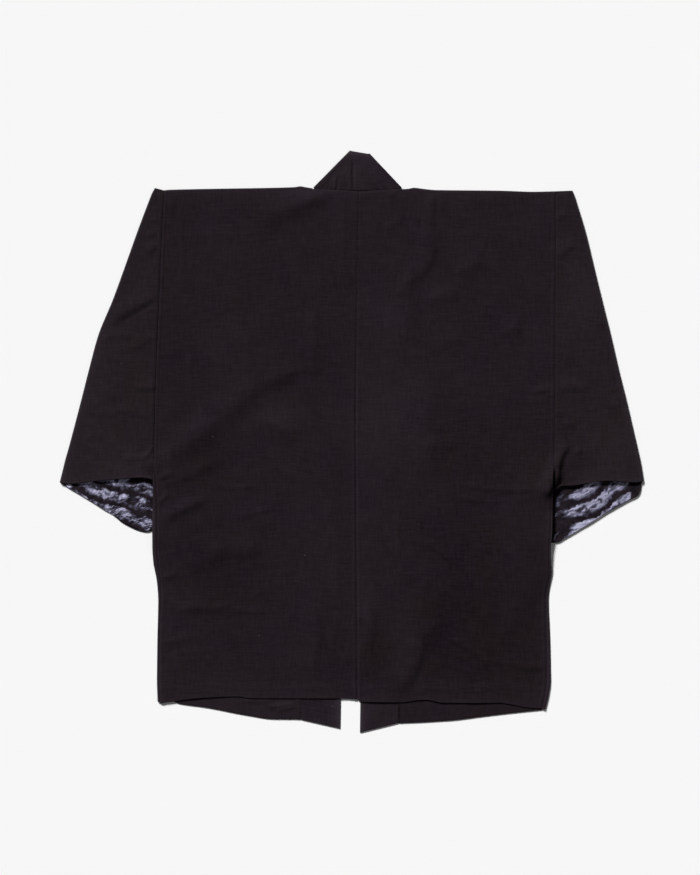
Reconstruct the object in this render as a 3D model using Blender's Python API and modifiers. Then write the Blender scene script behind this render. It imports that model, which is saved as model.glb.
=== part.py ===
"""Haori jacket of black cotton, laid flat with its back up.

+X runs across the shoulders, +Y up the garment from hem to collar, +Z up from the surface it lies on.
The origin is on that surface, under the middle of the outline. Sizes are millimetres until a point is
placed.
"""
import math
from collections import namedtuple

import bmesh
import bpy
from mathutils import Vector

MM = 0.001

# Cloth: what one wall measures and the space that neighbours keep
CLOTH = 1.0            # a layer of cotton
BAND = 2.0             # the collar, its cotton doubled
GAP = 0.35             # between layers that lie on each other
LOOSE = 0.2            # more than that, between the two halves of a sleeve's lining
BAND_GAP = 0.7         # between the collar's band and the back that lies over it
SEAM = 0.3             # between pieces that are sewn edge to edge
ARMHOLE_SEAM = 0.5     # the same where the sleeve's rows and the body's rows differ
LAYER = CLOTH + GAP

# Heights of the middle of each layer above the surface
FRONT_LEVEL = CLOTH / 2
LINING_FRONT_LEVEL = FRONT_LEVEL + LAYER
LINING_BACK_LEVEL = LINING_FRONT_LEVEL + LAYER + LOOSE
SLEEVE_BACK_LEVEL = LINING_BACK_LEVEL + LAYER
SLEEVE_MIDDLE = (FRONT_LEVEL + SLEEVE_BACK_LEVEL) / 2
LEG_LEVEL = BAND / 2
NECK_LEVEL = LEG_LEVEL + BAND + GAP
BACK_LEVEL = BAND + BAND_GAP + CLOTH / 2   # the back, over the collar's legs and the fronts
SAG = 0.8                                  # how far it sinks between the two legs, with nothing under it
SAG_LEVEL = BACK_LEVEL - SAG
CUFF_LIFT = 2.4                            # how far the back half of a cuff arches up at its hem
CUFF_UNDER_TUCK = 0.8                      # the part of that arch which reaches in under the body
TUCK_FRONT_LEVEL = SLEEVE_BACK_LEVEL + CUFF_UNDER_TUCK * CUFF_LIFT + LAYER   # over the sleeve's corner
TUCK_BACK_LEVEL = TUCK_FRONT_LEVEL + LAYER

# Colours, as linear light
BLACK = (0.017, 0.013, 0.015)
SLEEVE_BLACK = (0.022, 0.017, 0.020)
SHIBORI = (0.16, 0.15, 0.25)

# The two body lengths: side edges and centre-back seam
BodySection = namedtuple("BodySection", "y left centre right")
BODY_SECTIONS = (
    BodySection(390.0, -291.2, 10.3, 316.1),
    BodySection(351.0, -293.6, 9.6, 316.0),
    BodySection(313.0, -295.5, 8.9, 315.9),
    BodySection(274.0, -297.2, 8.3, 315.7),
    BodySection(235.0, -298.5, 7.7, 315.5),
    BodySection(196.0, -300.3, 7.1, 315.3),
    BodySection(158.0, -302.2, 6.6, 315.2),
    BodySection(111.0, -304.0, 6.1, 315.0),
    BodySection(65.0, -305.5, 5.7, 314.7),
    BodySection(28.0, -306.3, 5.7, 314.3),
    BodySection(-8.0, -307.0, 5.7, 313.9),
    BodySection(-31.0, -307.4, 5.8, 312.9),
    BodySection(-59.0, -307.8, 6.0, 311.8),
    BodySection(-100.0, -308.4, 6.4, 310.7),
    BodySection(-142.0, -309.0, 6.6, 310.0),
    BodySection(-164.0, -309.0, 6.7, 307.8),
    BodySection(-190.0, -307.4, 6.8, 308.9),
    BodySection(-215.0, -302.6, 7.0, 308.4),
    BodySection(-245.0, -300.3, 7.2, 305.0),
    BodySection(-307.0, -301.6, 7.7, 307.3),
    BodySection(-369.0, -302.3, 7.8, 308.4),
    BodySection(-414.0, -301.0, 8.0, 300.2),
)

# Where the body ends along its length, read across the garment
Edge = namedtuple("Edge", "x y")
SHOULDER_FOLD = (
    Edge(-291.2, 390.5), Edge(-284.0, 391.3), Edge(-102.1, 395.0), Edge(-88.0, 395.6),
    Edge(-80.4, 397.0), Edge(-71.0, 396.0), Edge(-60.7, 395.0), Edge(80.1, 392.5),
    Edge(88.0, 393.0), Edge(96.3, 394.6), Edge(108.0, 393.2), Edge(130.4, 391.0),
    Edge(229.6, 390.0), Edge(283.0, 388.3), Edge(316.1, 389.0),
)
BACK_HEM = (
    Edge(-301.2, -406.6), Edge(-290.0, -404.7), Edge(-276.1, -402.8), Edge(-252.0, -399.2),
    Edge(-228.4, -397.1), Edge(-176.5, -395.3), Edge(-156.0, -398.0), Edge(-99.0, -398.1),
    Edge(-17.0, -398.4), Edge(8.0, -399.6), Edge(14.2, -403.5), Edge(74.6, -404.2),
    Edge(111.8, -400.3), Edge(144.4, -405.2), Edge(227.3, -405.2), Edge(252.0, -408.6),
    Edge(270.9, -412.2), Edge(300.9, -414.2),
)
FRONT_HEM = (
    Edge(-299.7, -404.2), Edge(-276.5, -402.4), Edge(-264.0, -406.7), Edge(-223.0, -412.7),
    Edge(-157.9, -425.3), Edge(-120.7, -430.6), Edge(-76.0, -431.2), Edge(71.2, -436.6),
    Edge(142.5, -433.3), Edge(209.5, -425.2), Edge(251.3, -420.2), Edge(299.4, -415.2),
)
NECK_EDGE_Y = 393.0    # the back's top edge under the collar

# The largest folds of the back: a straight soft ridge each
Ridge = namedtuple("Ridge", "start_x start_y end_x end_y height half_width")
RIDGES = (
    Ridge(-60.0, 380.0, -158.0, 328.0, 1.6, 14.0),
    Ridge(-111.0, 119.0, -266.0, -12.0, 1.4, 16.0),
    Ridge(-252.0, -206.0, -158.0, -166.0, 1.2, 13.0),
    Ridge(127.0, 378.0, 127.0, 305.0, 1.4, 13.0),
    Ridge(127.0, 305.0, 92.0, 230.0, 1.4, 13.0),
    Ridge(132.0, -291.0, 92.0, -380.0, 1.2, 12.0),
)

# The collar: seam edge and free edge at the hem and at the neck's mitre folds, where the band turns
# from the legs, which lie on the surface, to the neck, which lies over them
CollarEnd = namedtuple("CollarEnd", "seam_x seam_y free_x free_y")
LEFT_LEG_HEM = CollarEnd(-75.7, -431.2, -18.5, -444.8)
LEFT_MITRE = CollarEnd(-58.4, 393.6, -1.6, 451.2)
RIGHT_MITRE = CollarEnd(76.2, 393.4, 26.0, 446.6)
RIGHT_LEG_HEM = CollarEnd(70.8, -436.6, 12.9, -451.1)

# A sleeve: its rows run from the folded outer edge to the inner edge, which is the armhole down to the
# underarm and below it the sleeve's own seam. pressed says how far its halves are pressed together, open
# how far the cuff's mouth reaches in, shut how far the inner edge is closed and inset how far the lining
# keeps in from that edge, as a part of the width.
SleeveRow = namedtuple("SleeveRow", "inner_y outer_x outer_y pressed open shut inset")
LEFT_SLEEVE = (
    SleeveRow(389.6, -307.2, 394.4, 1.0, 0.0, 0.0, 0.0),
    SleeveRow(374.0, -312.4, 381.0, 0.0, 0.0, 0.0, 0.0),
    SleeveRow(319.2, -332.2, 328.5, 0.0, 0.0, 0.0, 0.0),
    SleeveRow(258.8, -354.3, 266.5, 0.0, 0.0, 0.0, 0.0),
    SleeveRow(212.3, -371.3, 220.0, 0.0, 0.0, 0.0, 0.0),
    SleeveRow(159.6, -393.5, 165.8, 0.0, 0.0, 0.0, 0.0),
    SleeveRow(108.4, -408.3, 111.5, 0.0, 0.0, 0.0, 0.0),
    SleeveRow(63.5, -420.1, 65.0, 0.0, 0.0, 0.0, 0.0),
    SleeveRow(18.5, -432.2, 18.5, 0.0, 0.1, 0.0, 0.05),
    SleeveRow(-8.0, -439.2, -7.8, 0.0, 0.22, 0.0, 0.12),
    SleeveRow(-31.0, -445.4, -29.5, 0.0, 0.35, 1.0, 0.16),
)
RIGHT_SLEEVE = (
    SleeveRow(388.7, 344.0, 389.9, 1.0, 0.0, 0.0, 0.0),
    SleeveRow(374.0, 347.4, 377.0, 0.0, 0.0, 0.0, 0.0),
    SleeveRow(319.2, 362.0, 328.5, 0.0, 0.0, 0.0, 0.0),
    SleeveRow(258.8, 377.0, 266.5, 0.0, 0.0, 0.0, 0.0),
    SleeveRow(212.3, 388.4, 220.0, 0.0, 0.0, 0.0, 0.0),
    SleeveRow(159.6, 401.9, 165.8, 0.0, 0.0, 0.0, 0.0),
    SleeveRow(108.4, 414.4, 111.5, 0.0, 0.0, 0.0, 0.0),
    SleeveRow(63.5, 426.1, 65.0, 0.0, 0.0, 0.0, 0.0),
    SleeveRow(18.5, 436.8, 18.5, 0.0, 0.1, 0.0, 0.05),
    SleeveRow(-8.0, 443.7, -10.9, 0.0, 0.22, 0.0, 0.12),
    SleeveRow(-31.0, 448.5, -32.6, 0.0, 0.35, 1.0, 0.16),
)
# A cuff's hem, from the outer fold to where it passes under the body's edge
LEFT_BACK_CUFF = (
    Edge(-453.6, -63.4), Edge(-438.0, -65.2), Edge(-398.7, -61.0), Edge(-360.9, -57.7),
    Edge(-322.2, -55.3), Edge(-307.8, -58.7),
)
LEFT_FRONT_CUFF = (
    Edge(-453.6, -64.2), Edge(-424.8, -80.4), Edge(-398.7, -96.3), Edge(-385.0, -105.2),
    Edge(-372.5, -112.0), Edge(-357.4, -124.8), Edge(-347.8, -130.4), Edge(-328.4, -138.5),
    Edge(-319.1, -140.0), Edge(-310.1, -137.6),
)
RIGHT_BACK_CUFF = (
    Edge(452.8, -60.4), Edge(438.9, -63.0), Edge(392.4, -60.5), Edge(367.0, -63.6),
    Edge(342.8, -67.7), Edge(325.7, -68.3), Edge(309.0, -85.0),
)
RIGHT_FRONT_CUFF = (
    Edge(452.8, -61.3), Edge(444.2, -83.2), Edge(431.6, -90.0), Edge(389.2, -114.0),
    Edge(365.2, -129.0), Edge(331.0, -149.5), Edge(318.5, -156.4), Edge(309.9, -157.0),
)
# and the corner, tucked under the body, where it ends
LEFT_CORNER = Edge(-274.1, -114.8)
RIGHT_CORNER = Edge(273.0, -136.5)
EDGE_PART = 0.86       # the part of a cuff's width that its shown hem takes

# Each half of the garment. The body's edge is level from underarm down to tucked, rides over the sleeve's
# corner down to settling, and lies flat again at settled.
Half = namedtuple("Half", "name sign leg mitre sleeve back_cuff front_cuff corner"
                          " underarm tucked settling settled")
LEFT = Half("left", -1, LEFT_LEG_HEM, LEFT_MITRE, LEFT_SLEEVE, LEFT_BACK_CUFF, LEFT_FRONT_CUFF,
            LEFT_CORNER, -8.0, -31.0, -142.0, -190.0)
RIGHT = Half("right", 1, RIGHT_LEG_HEM, RIGHT_MITRE, RIGHT_SLEEVE, RIGHT_BACK_CUFF, RIGHT_FRONT_CUFF,
             RIGHT_CORNER, -8.0, -31.0, -164.0, -215.0)
# Heights of the back's and the front's side edge at a place along it, and how far in they stay level
# and then slope
EdgeLevels = namedtuple("EdgeLevels", "y back front flat slope")
NECK_POINT_ROOM = 2.5  # from the collar's mitre out to the body, at the shoulder fold
ARMHOLE_REACH = 60.0   # how far in the back slopes down from the sleeve's height
TUCK_FLAT = 46.0       # how far in the body stays level over the sleeve's corner
TUCK_SLOPE = 40.0      # and how far it takes to come down from it
SIDE_SEAM_REACH = 25.0 # how far in the back comes down on the front along the side seam

# Mesh columns and arc steps
SHOULDER_COLUMNS = (0.0, 0.07, 0.2, 0.29, 0.375, 0.45, 0.53, 0.61, 0.69, 0.77, 0.85, 0.93, 1.0)
NECK_COLUMNS = (0.25, 0.5, 0.78, 1.0)                          # from the neck point to the centre back
SLEEVE_COLUMNS = (0.0, 0.12, 0.3, 0.5, 0.7, 0.86, 0.93, 1.0)   # from the outer fold to the inner edge
CUFF_STEPS = 3         # rows between the last sleeve row and the cuff's hem
FOLD_STEPS = 4         # facets round a fold
LEG_STEPS = 8
NECK_STEPS = 4
COLLAR_STEPS_ACROSS = 3
SHUT_FROM = 0.93       # the part of a sleeve's width from which its halves close on each other
FOLD_AIM = 0.3         # the part of its width that a row's outer fold is bent towards
CUFF_INSET = 0.16      # the lining's inset at the cuff's hem
LINING_SEAM_ROOM = 1.5
LINING_HEM = 0.985     # the lining's hem, of the way to the sleeve's own


def mix(a, b, part):
    return a + (b - a) * part


def smooth(part):
    part = min(max(part, 0.0), 1.0)
    return part * part * (3.0 - 2.0 * part)


def read(table, key, at, want):
    """The column `want` of a table where its column `key` is `at`, straight between rows."""
    rows = sorted(table, key=lambda row: getattr(row, key))
    for low, high in zip(rows, rows[1:]):
        start, end = getattr(low, key), getattr(high, key)
        if at <= end or high is rows[-1]:
            part = min(max((at - start) / (end - start), 0.0), 1.0)
            return mix(getattr(low, want), getattr(high, want), part)


def along(path, part):
    """The point a given part of the way along a path of edge points."""
    points = [Vector((p.x, p.y)) for p in path]
    lengths = [(b - a).length for a, b in zip(points, points[1:])]
    left = part * sum(lengths)
    for start, end, length in zip(points, points[1:], lengths):
        if left <= length or end is points[-1]:
            return start.lerp(end, min(left / length, 1.0))
        left -= length


def cotton(name, colour):
    material = bpy.data.materials.new(name)
    material.use_nodes = True
    shader = material.node_tree.nodes["Principled BSDF"]
    shader.inputs["Base Color"].default_value = (*colour, 1.0)
    shader.inputs["Roughness"].default_value = 0.9
    shader.inputs["Metallic"].default_value = 0.0
    material.diffuse_color = (*colour, 1.0)
    return material


def cloth_sheet(name, columns, rows, place, wall, colour, cut_away=None):
    """A grid of cloth with a wall, its crossings put at place(column, row), less what cut_away names."""
    mesh = bmesh.new()
    bmesh.ops.create_grid(mesh, x_segments=columns, y_segments=rows)
    mesh.verts.ensure_lookup_table()
    spots = {}
    for index, vertex in enumerate(mesh.verts):
        row, column = divmod(index, columns + 1)
        spots[vertex] = (column, row)
        vertex.co = Vector(place(column, row)) * MM
    if cut_away:
        gone = [face for face in mesh.faces if all(cut_away(*spots[v]) for v in face.verts)]
        bmesh.ops.delete(mesh, geom=gone, context="FACES")
    data = bpy.data.meshes.new(name)
    mesh.to_mesh(data)
    mesh.free()
    data.materials.append(cotton(name + "_cotton", colour))
    piece = bpy.data.objects.new(name, data)
    garment.objects.link(piece)
    solidify = piece.modifiers.new("wall", "SOLIDIFY")
    solidify.thickness = wall * MM
    solidify.offset = 0.0
    solidify.use_even_offset = True
    return piece


# ---- body: two lengths of cotton, each a half of the back and a front, joined by the centre-back seam ----

def side_x(half, y):
    return read(BODY_SECTIONS, "y", y, half.name)


def collar_seam_x(half, y):
    """The body's edge along the collar: clear of the mitre at the neck, close beside the leg at the hem."""
    neck_x = half.mitre.seam_x + half.sign * NECK_POINT_ROOM
    hem_x = half.leg.seam_x + half.sign * SEAM
    return mix(neck_x, hem_x, (half.mitre.seam_y - y) / (half.mitre.seam_y - half.leg.seam_y))


def edge_levels(half, y):
    table = (
        EdgeLevels(half.underarm, SLEEVE_BACK_LEVEL, FRONT_LEVEL, 0.0, ARMHOLE_REACH),
        EdgeLevels(half.tucked, TUCK_BACK_LEVEL, TUCK_FRONT_LEVEL, TUCK_FLAT, TUCK_SLOPE),
        EdgeLevels(half.settling, TUCK_BACK_LEVEL, TUCK_FRONT_LEVEL, TUCK_FLAT, TUCK_SLOPE),
        EdgeLevels(half.settled, FRONT_LEVEL + LAYER, FRONT_LEVEL, 0.0, SIDE_SEAM_REACH),
    )
    return [read(table, "y", y, want) for want in ("back", "front", "flat", "slope")]


def ridge_height(x, y):
    """How far the back's folds lift it at a point, each one fading out at its ends."""
    total = 0.0
    for ridge in RIDGES:
        start = Vector((ridge.start_x, ridge.start_y))
        run = Vector((ridge.end_x, ridge.end_y)) - start
        reach = min(max((Vector((x, y)) - start).dot(run) / run.length_squared, 0.0), 1.0)
        away = (Vector((x, y)) - start - run * reach).length
        total = max(total, ridge.height * math.exp(-((away / ridge.half_width) ** 2)))
    return total


def body_heights(half, x, y):
    back_edge, front_edge, flat, slope = edge_levels(half, y)
    inwards = (side_x(half, y) - x) * half.sign
    down = smooth((inwards - flat) / slope)
    leg_part = (LEFT_MITRE.seam_y - y) / (LEFT_MITRE.seam_y - LEFT_LEG_HEM.seam_y)
    gap_left = mix(LEFT_MITRE.free_x, LEFT_LEG_HEM.free_x, leg_part)
    gap_right = mix(RIGHT_MITRE.free_x, RIGHT_LEG_HEM.free_x, leg_part)
    from_middle = abs(x - (gap_left + gap_right) / 2) / (gap_right - gap_left)
    inner = mix(SAG_LEVEL, BACK_LEVEL, smooth(from_middle))
    return mix(back_edge, inner + ridge_height(x, y), down), mix(front_edge, FRONT_LEVEL, down)


def body_length(half):
    """One length of cotton: up the back, over the shoulder fold and down the front beside the collar."""
    shoulder = len(SHOULDER_COLUMNS) - 1
    columns = shoulder + len(NECK_COLUMNS)
    sections = len(BODY_SECTIONS) - 1
    rows = sections + FOLD_STEPS + sections
    top_y = BODY_SECTIONS[0].y
    hem_y = BODY_SECTIONS[-1].y
    centre = -half.sign * SEAM / 2
    neck_x = collar_seam_x(half, top_y)

    def down(section):
        return (top_y - BODY_SECTIONS[section].y) / (top_y - hem_y)

    def centre_x(y):
        return read(BODY_SECTIONS, "y", y, "centre") - centre

    def across_back(column):
        """How far a column lies from the side edge to the centre back."""
        neck = (neck_x - side_x(half, top_y)) / (centre_x(top_y) - side_x(half, top_y))
        if column <= shoulder:
            return SHOULDER_COLUMNS[column] * neck
        return mix(neck, 1.0, NECK_COLUMNS[column - shoulder - 1])

    def top_point(column):
        """Start of the shoulder fold, or the neck edge: its place, its heights and the fold's radius."""
        x = mix(side_x(half, top_y), centre_x(top_y), across_back(column))
        back, front = body_heights(half, x, top_y)
        radius = (back - front) / 2
        y = NECK_EDGE_Y
        if column <= shoulder:
            y = read(SHOULDER_FOLD, "x", x, "y") - radius - CLOTH / 2
        return x, y, back, front, radius

    def back_place(column, section):
        across = across_back(column)
        top = top_point(column)[1]
        hem = read(BACK_HEM, "x", mix(side_x(half, hem_y), centre_x(hem_y), across), "y")
        y = mix(top, hem, down(section))
        x = mix(side_x(half, y), centre_x(y), across)
        return x, y, body_heights(half, x, y)[0]

    def front_place(column, section):
        across = SHOULDER_COLUMNS[min(column, shoulder)]
        top = top_point(min(column, shoulder))[1]
        hem = read(FRONT_HEM, "x", mix(side_x(half, hem_y), collar_seam_x(half, hem_y), across), "y")
        y = mix(top, hem, down(section))
        x = mix(side_x(half, y), collar_seam_x(half, y), across)
        return x, y, body_heights(half, x, y)[1]

    def fold_place(column, step):
        x, y, back, front, radius = top_point(min(column, shoulder))
        turn = math.pi * step / FOLD_STEPS
        return x, y + radius * math.sin(turn), (back + front) / 2 + radius * math.cos(turn)

    def place(column, row):
        if row <= sections:
            return back_place(column, sections - row)
        if row < sections + FOLD_STEPS:
            return fold_place(column, row - sections)
        return front_place(column, row - sections - FOLD_STEPS)

    def past_neck(column, row):
        return column >= shoulder and row >= sections

    cloth_sheet("body_" + half.name, columns, rows, place, CLOTH, BLACK, past_neck)


# ---- sleeves: cotton and lining, folded along the outer edge and sewn into the armhole -----------------

def sleeve_layer(half, name, back_level, front_level, hem, lining, colour):
    """A sleeve's cotton or its lining: up the back half from the inner edge, round the outer fold and back.

    The lining starts a row below the shoulder corner, where the cotton's halves are pressed together.
    """
    table = half.sleeve[1:] if lining else half.sleeve
    steps = len(SLEEVE_COLUMNS) - 1
    columns = steps + FOLD_STEPS + steps
    last = len(table) - 1
    rows = last + CUFF_STEPS
    fold_room = (SLEEVE_BACK_LEVEL - FRONT_LEVEL) / 2 + CLOTH / 2
    radius = (back_level - front_level) / 2

    def row_values(row):
        """The table row that a mesh row starts from, and how far it is on the way from there to the hem."""
        return table[min(row, last)], max(row - last, 0) / CUFF_STEPS * hem

    def width_point(row, part, cuff):
        start, way = row_values(row)
        outer = Vector((start.outer_x, start.outer_y))
        inner = Vector((side_x(half, start.inner_y) + half.sign * ARMHOLE_SEAM, start.inner_y))
        hem_point = along(cuff, min(part / EDGE_PART, 1.0))
        hem_point = hem_point.lerp(Vector(half.corner), max(part - EDGE_PART, 0.0) / (1.0 - EDGE_PART))
        return outer.lerp(inner, part).lerp(hem_point, way)

    def fold_line(row):
        """A row's outer end, and the way in from it."""
        outer = width_point(row, 0.0, half.back_cuff)
        aim = width_point(row, FOLD_AIM, half.back_cuff) + width_point(row, FOLD_AIM, half.front_cuff)
        return outer, (aim / 2 - outer).normalized()

    def layer_place(row, step, cuff, level):
        start, way = row_values(row)
        opening = mix(start.open, 1.0, way)
        shut = mix(start.shut, 1.0, way)
        width = (width_point(row, 1.0, cuff) - width_point(row, 0.0, cuff)).length
        end = 1.0
        if lining:
            end = 1.0 - mix(start.inset, CUFF_INSET, way) - LINING_SEAM_ROOM / width
        part = mix(fold_room / width, end, SLEEVE_COLUMNS[step])
        x, y = width_point(row, part, cuff)
        if step == 0:
            outer, inwards = fold_line(row)
            x, y = outer + inwards * fold_room
        closed = max(start.pressed, shut * smooth((part - SHUT_FROM) / (1.0 - SHUT_FROM)))
        closed_level = SLEEVE_MIDDLE + math.copysign(LAYER / 2, level - SLEEVE_MIDDLE)
        z = mix(level, closed_level, closed)
        if level > SLEEVE_MIDDLE:
            z += CUFF_LIFT * opening * math.sin(math.pi * part ** 2) * (1.0 - closed)
        return x, y, z

    def fold_place(row, step):
        outer, inwards = fold_line(row)
        turn = math.pi * step / FOLD_STEPS
        bend = mix(radius, LAYER / 2, row_values(row)[0].pressed)
        x, y = outer + inwards * (fold_room - bend * math.sin(turn))
        return x, y, SLEEVE_MIDDLE + bend * math.cos(turn)

    def place(column, row):
        if column <= steps:
            return layer_place(row, steps - column, half.back_cuff, back_level)
        if column < steps + FOLD_STEPS:
            return fold_place(row, column - steps)
        return layer_place(row, column - steps - FOLD_STEPS, half.front_cuff, front_level)

    cloth_sheet(name, columns, rows, place, CLOTH, colour)


# ---- collar: one long doubled band along the neck and both front edges ---------------------------------

def collar_band():
    """The doubled band: up the left leg, over the left mitre, round the neck and down the right leg."""
    radius = (NECK_LEVEL - LEG_LEVEL) / 2
    middle = (NECK_LEVEL + LEG_LEVEL) / 2

    def across(end, part):
        return Vector((mix(end.seam_x, end.free_x, part), mix(end.seam_y, end.free_y, part)))

    def outwards(mitre, sign):
        """Square to a mitre fold, away from the band."""
        fold = (across(mitre, 1.0) - across(mitre, 0.0)).normalized()
        return Vector((sign * abs(fold.y), abs(fold.x)))

    stations = []      # each is a function of how far across the band a point lies

    def leg_station(hem, mitre, up):
        return lambda part: (*across(hem, part).lerp(across(mitre, part), up), LEG_LEVEL)

    def mitre_station(mitre, sign, turn):
        push = outwards(mitre, sign) * radius * math.sin(turn)
        return lambda part: (*(across(mitre, part) + push), middle - radius * math.cos(turn))

    def neck_station(on):
        return lambda part: (*across(LEFT_MITRE, part).lerp(across(RIGHT_MITRE, part), on), NECK_LEVEL)

    for step in range(LEG_STEPS):
        stations.append(leg_station(LEFT_LEG_HEM, LEFT_MITRE, step / LEG_STEPS))
    for step in range(FOLD_STEPS):
        stations.append(mitre_station(LEFT_MITRE, LEFT.sign, math.pi * step / FOLD_STEPS))
    for step in range(NECK_STEPS):
        stations.append(neck_station(step / NECK_STEPS))
    for step in range(FOLD_STEPS):
        stations.append(mitre_station(RIGHT_MITRE, RIGHT.sign, math.pi * (1.0 - step / FOLD_STEPS)))
    for step in range(LEG_STEPS + 1):
        stations.append(leg_station(RIGHT_LEG_HEM, RIGHT_MITRE, 1.0 - step / LEG_STEPS))

    def place(column, row):
        return stations[row](column / COLLAR_STEPS_ACROSS)

    cloth_sheet("collar", COLLAR_STEPS_ACROSS, len(stations) - 1, place, BAND, BLACK)


# ---- the garment ---------------------------------------------------------------------------------------

for old in list(bpy.data.objects):
    bpy.data.objects.remove(old, do_unlink=True)
garment = bpy.data.collections.new("haori_jacket")
bpy.context.scene.collection.children.link(garment)

for half in (LEFT, RIGHT):
    body_length(half)
    sleeve_layer(half, "sleeve_" + half.name, SLEEVE_BACK_LEVEL, FRONT_LEVEL, 1.0, False, SLEEVE_BLACK)
    sleeve_layer(half, "sleeve_lining_" + half.name, LINING_BACK_LEVEL, LINING_FRONT_LEVEL, LINING_HEM,
                 True, SHIBORI)
collar_band()
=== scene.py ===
"""Haori jacket of black cotton, laid flat with its back up: how each piece looks.

+X runs across the shoulders, +Y up the garment from hem to collar and +Z up from the surface it lies on.
Sizes are millimetres until a mesh is made.
"""
import math
from collections import namedtuple

import bmesh
import bpy
import numpy as np
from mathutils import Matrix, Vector


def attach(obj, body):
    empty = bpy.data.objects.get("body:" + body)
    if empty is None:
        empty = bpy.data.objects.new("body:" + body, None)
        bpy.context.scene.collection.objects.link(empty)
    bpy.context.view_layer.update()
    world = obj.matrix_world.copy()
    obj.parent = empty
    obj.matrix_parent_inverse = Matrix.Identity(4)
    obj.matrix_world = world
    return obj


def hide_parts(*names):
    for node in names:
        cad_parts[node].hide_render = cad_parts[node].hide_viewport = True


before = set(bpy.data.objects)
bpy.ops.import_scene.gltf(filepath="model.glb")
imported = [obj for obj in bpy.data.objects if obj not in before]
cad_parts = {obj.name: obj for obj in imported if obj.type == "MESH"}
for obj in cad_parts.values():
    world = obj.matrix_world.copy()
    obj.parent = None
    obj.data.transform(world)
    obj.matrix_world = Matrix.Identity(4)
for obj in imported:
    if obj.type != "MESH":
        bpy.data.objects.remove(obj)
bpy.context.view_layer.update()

# ---- body lengths ----------------------------------------------------------------------------------------
# Each half of the body is one length of black cotton that runs up the back, over the shoulder and down the
# front. The halves are sewn down the centre back, and each one's back is sewn to its front down the side.

MM = 0.001
WALL = 0.8             # one layer of cotton
LAYER = 1.35           # from a layer to the next one on it
SEAM = 0.3             # between pieces sewn edge to edge
FRONT_WIDTH = 232.0    # cloth across and along which the points are spaced
NECK_WIDTH = 72.0
BACK_LENGTH = 795.0
FRONT_LENGTH = 810.0
# Heights of the middle of each layer
FRONT_LEVEL = 0.5
SLEEVE_BACK_LEVEL = FRONT_LEVEL + 3 * LAYER + 0.2      # over both layers of the lining
LEG_LEVEL = 1.0
NECK_LEVEL = 3.0
BACK_LEVEL = 3.3
SAG_LEVEL = 2.5        # the back between the collar's two legs


def table(columns, *rows):
    """Rows whose columns have names."""
    row_type = namedtuple("Row", columns)
    return [row_type(*row) for row in rows]


# The outline of the body: its side edges and centre-back seam, and then its fold and hems
BODY_SECTIONS = table(
    "y left centre right",
    (390, -291.2, 10.3, 316.1), (351, -293.6, 9.6, 316), (313, -295.5, 8.9, 315.9),
    (274, -297.2, 8.3, 315.7), (235, -298.5, 7.7, 315.5), (196, -300.3, 7.1, 315.3),
    (158, -302.2, 6.6, 315.2), (111, -304, 6.1, 315), (65, -305.5, 5.7, 314.7), (28, -306.3, 5.7, 314.3),
    (-8, -307, 5.7, 313.9), (-31, -307.4, 5.8, 312.9), (-59, -307.8, 6, 311.8), (-100, -308.4, 6.4, 310.7),
    (-142, -309, 6.6, 310), (-164, -309, 6.7, 307.8), (-190, -307.4, 6.8, 308.9), (-203, -304.9, 6.9, 310),
    (-215, -302.6, 7, 308.4), (-245, -300.3, 7.2, 305), (-307, -301.6, 7.7, 307.3),
    (-369, -302.3, 7.8, 308.4), (-387, -301.8, 7.9, 306.2), (-400, -301.3, 8, 303.6),
    (-414, -301, 8, 300.2),
)
SHOULDER_FOLD = table(
    "x y",
    (-291.2, 390.5), (-284, 391.3), (-102.1, 395), (-88, 395.6), (-80.4, 396.8), (-71, 395.3),
    (-60.7, 393.9), (80.1, 392.5), (88, 393), (96.3, 394.6), (108, 393.2), (130.4, 391), (229.6, 390),
    (283, 388.3), (316.1, 389),
)
BACK_HEM = table(
    "x y",
    (-301.2, -406.6), (-290, -404.7), (-276.1, -402.8), (-252, -399.2), (-228.4, -397.1), (-176.5, -395.3),
    (-156, -398), (-99, -398.1), (-17, -398.4), (8, -399.6), (14.2, -403.5), (74.6, -404.2),
    (111.8, -400.3), (144.4, -405.2), (227.3, -405.2), (252, -408.6), (270.9, -412.2), (300.9, -414.2),
)
FRONT_HEM = table(
    "x y",
    (-299.7, -404.2), (-276.5, -402.4), (-264, -406.7), (-223, -412.7), (-157.9, -425.3), (-120.7, -430.6),
    (-80, -431), (72, -436.6), (142.5, -433.3), (209.5, -425.2), (251.3, -420.2), (299.4, -415.2),
)
TOP_Y, HEM_Y = BODY_SECTIONS[0].y, BODY_SECTIONS[-1].y
NECK_SEAM_Y = 393.3    # the neck seam at its two ends
NECK_SEAM_BOW = 3.0    # how far lower it lies at the centre back
NECK_SEAM = 0.05       # between the collar and the back there
NECK_MIDDLE = 8.5
NECK_HALF_WIDTH = 66.0
NECK_POINT_ROOM = 2.5  # between the fronts and the collar's mitres
# The side seam lies this far in from the edge, on the back, because the front rolls round the edge to it
SEAM_INSETS = table(
    "y left right",
    (-34, 0, 0), (-66, 4.6, 1.4), (-100, 6.4, 1.8), (-190, 6.8, 2.4), (-225, 4.4, 3.2), (-300, 2.6, 4.8),
    (-380, 3, 5.6), (-414, 3.2, 5.2),
)
ROLL_Y = -34.0         # from this height down
SEAM_STAGGER = 1.2     # how far the front's armhole seam lies outside the back's
SEAM_DEPTH = {"left": 0.34, "right": 0.30}    # how deep each armhole's seam lies
ARMHOLE_REACH = 60.0   # how far in from the armhole the back comes down to its own level
FOLD_REACH = 16.0      # how far down from the shoulder's fold the creases are pressed flat by it
TUCK_FLAT = 14.0       # where the body rides over the sleeve's tucked corner: its flat top,
TUCK_SLOPE = 120.0     # and how far it takes to come down inwards
HEM_RISE = 0.62        # the back's hem, turned up inside, stands this much off the fronts,
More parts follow.
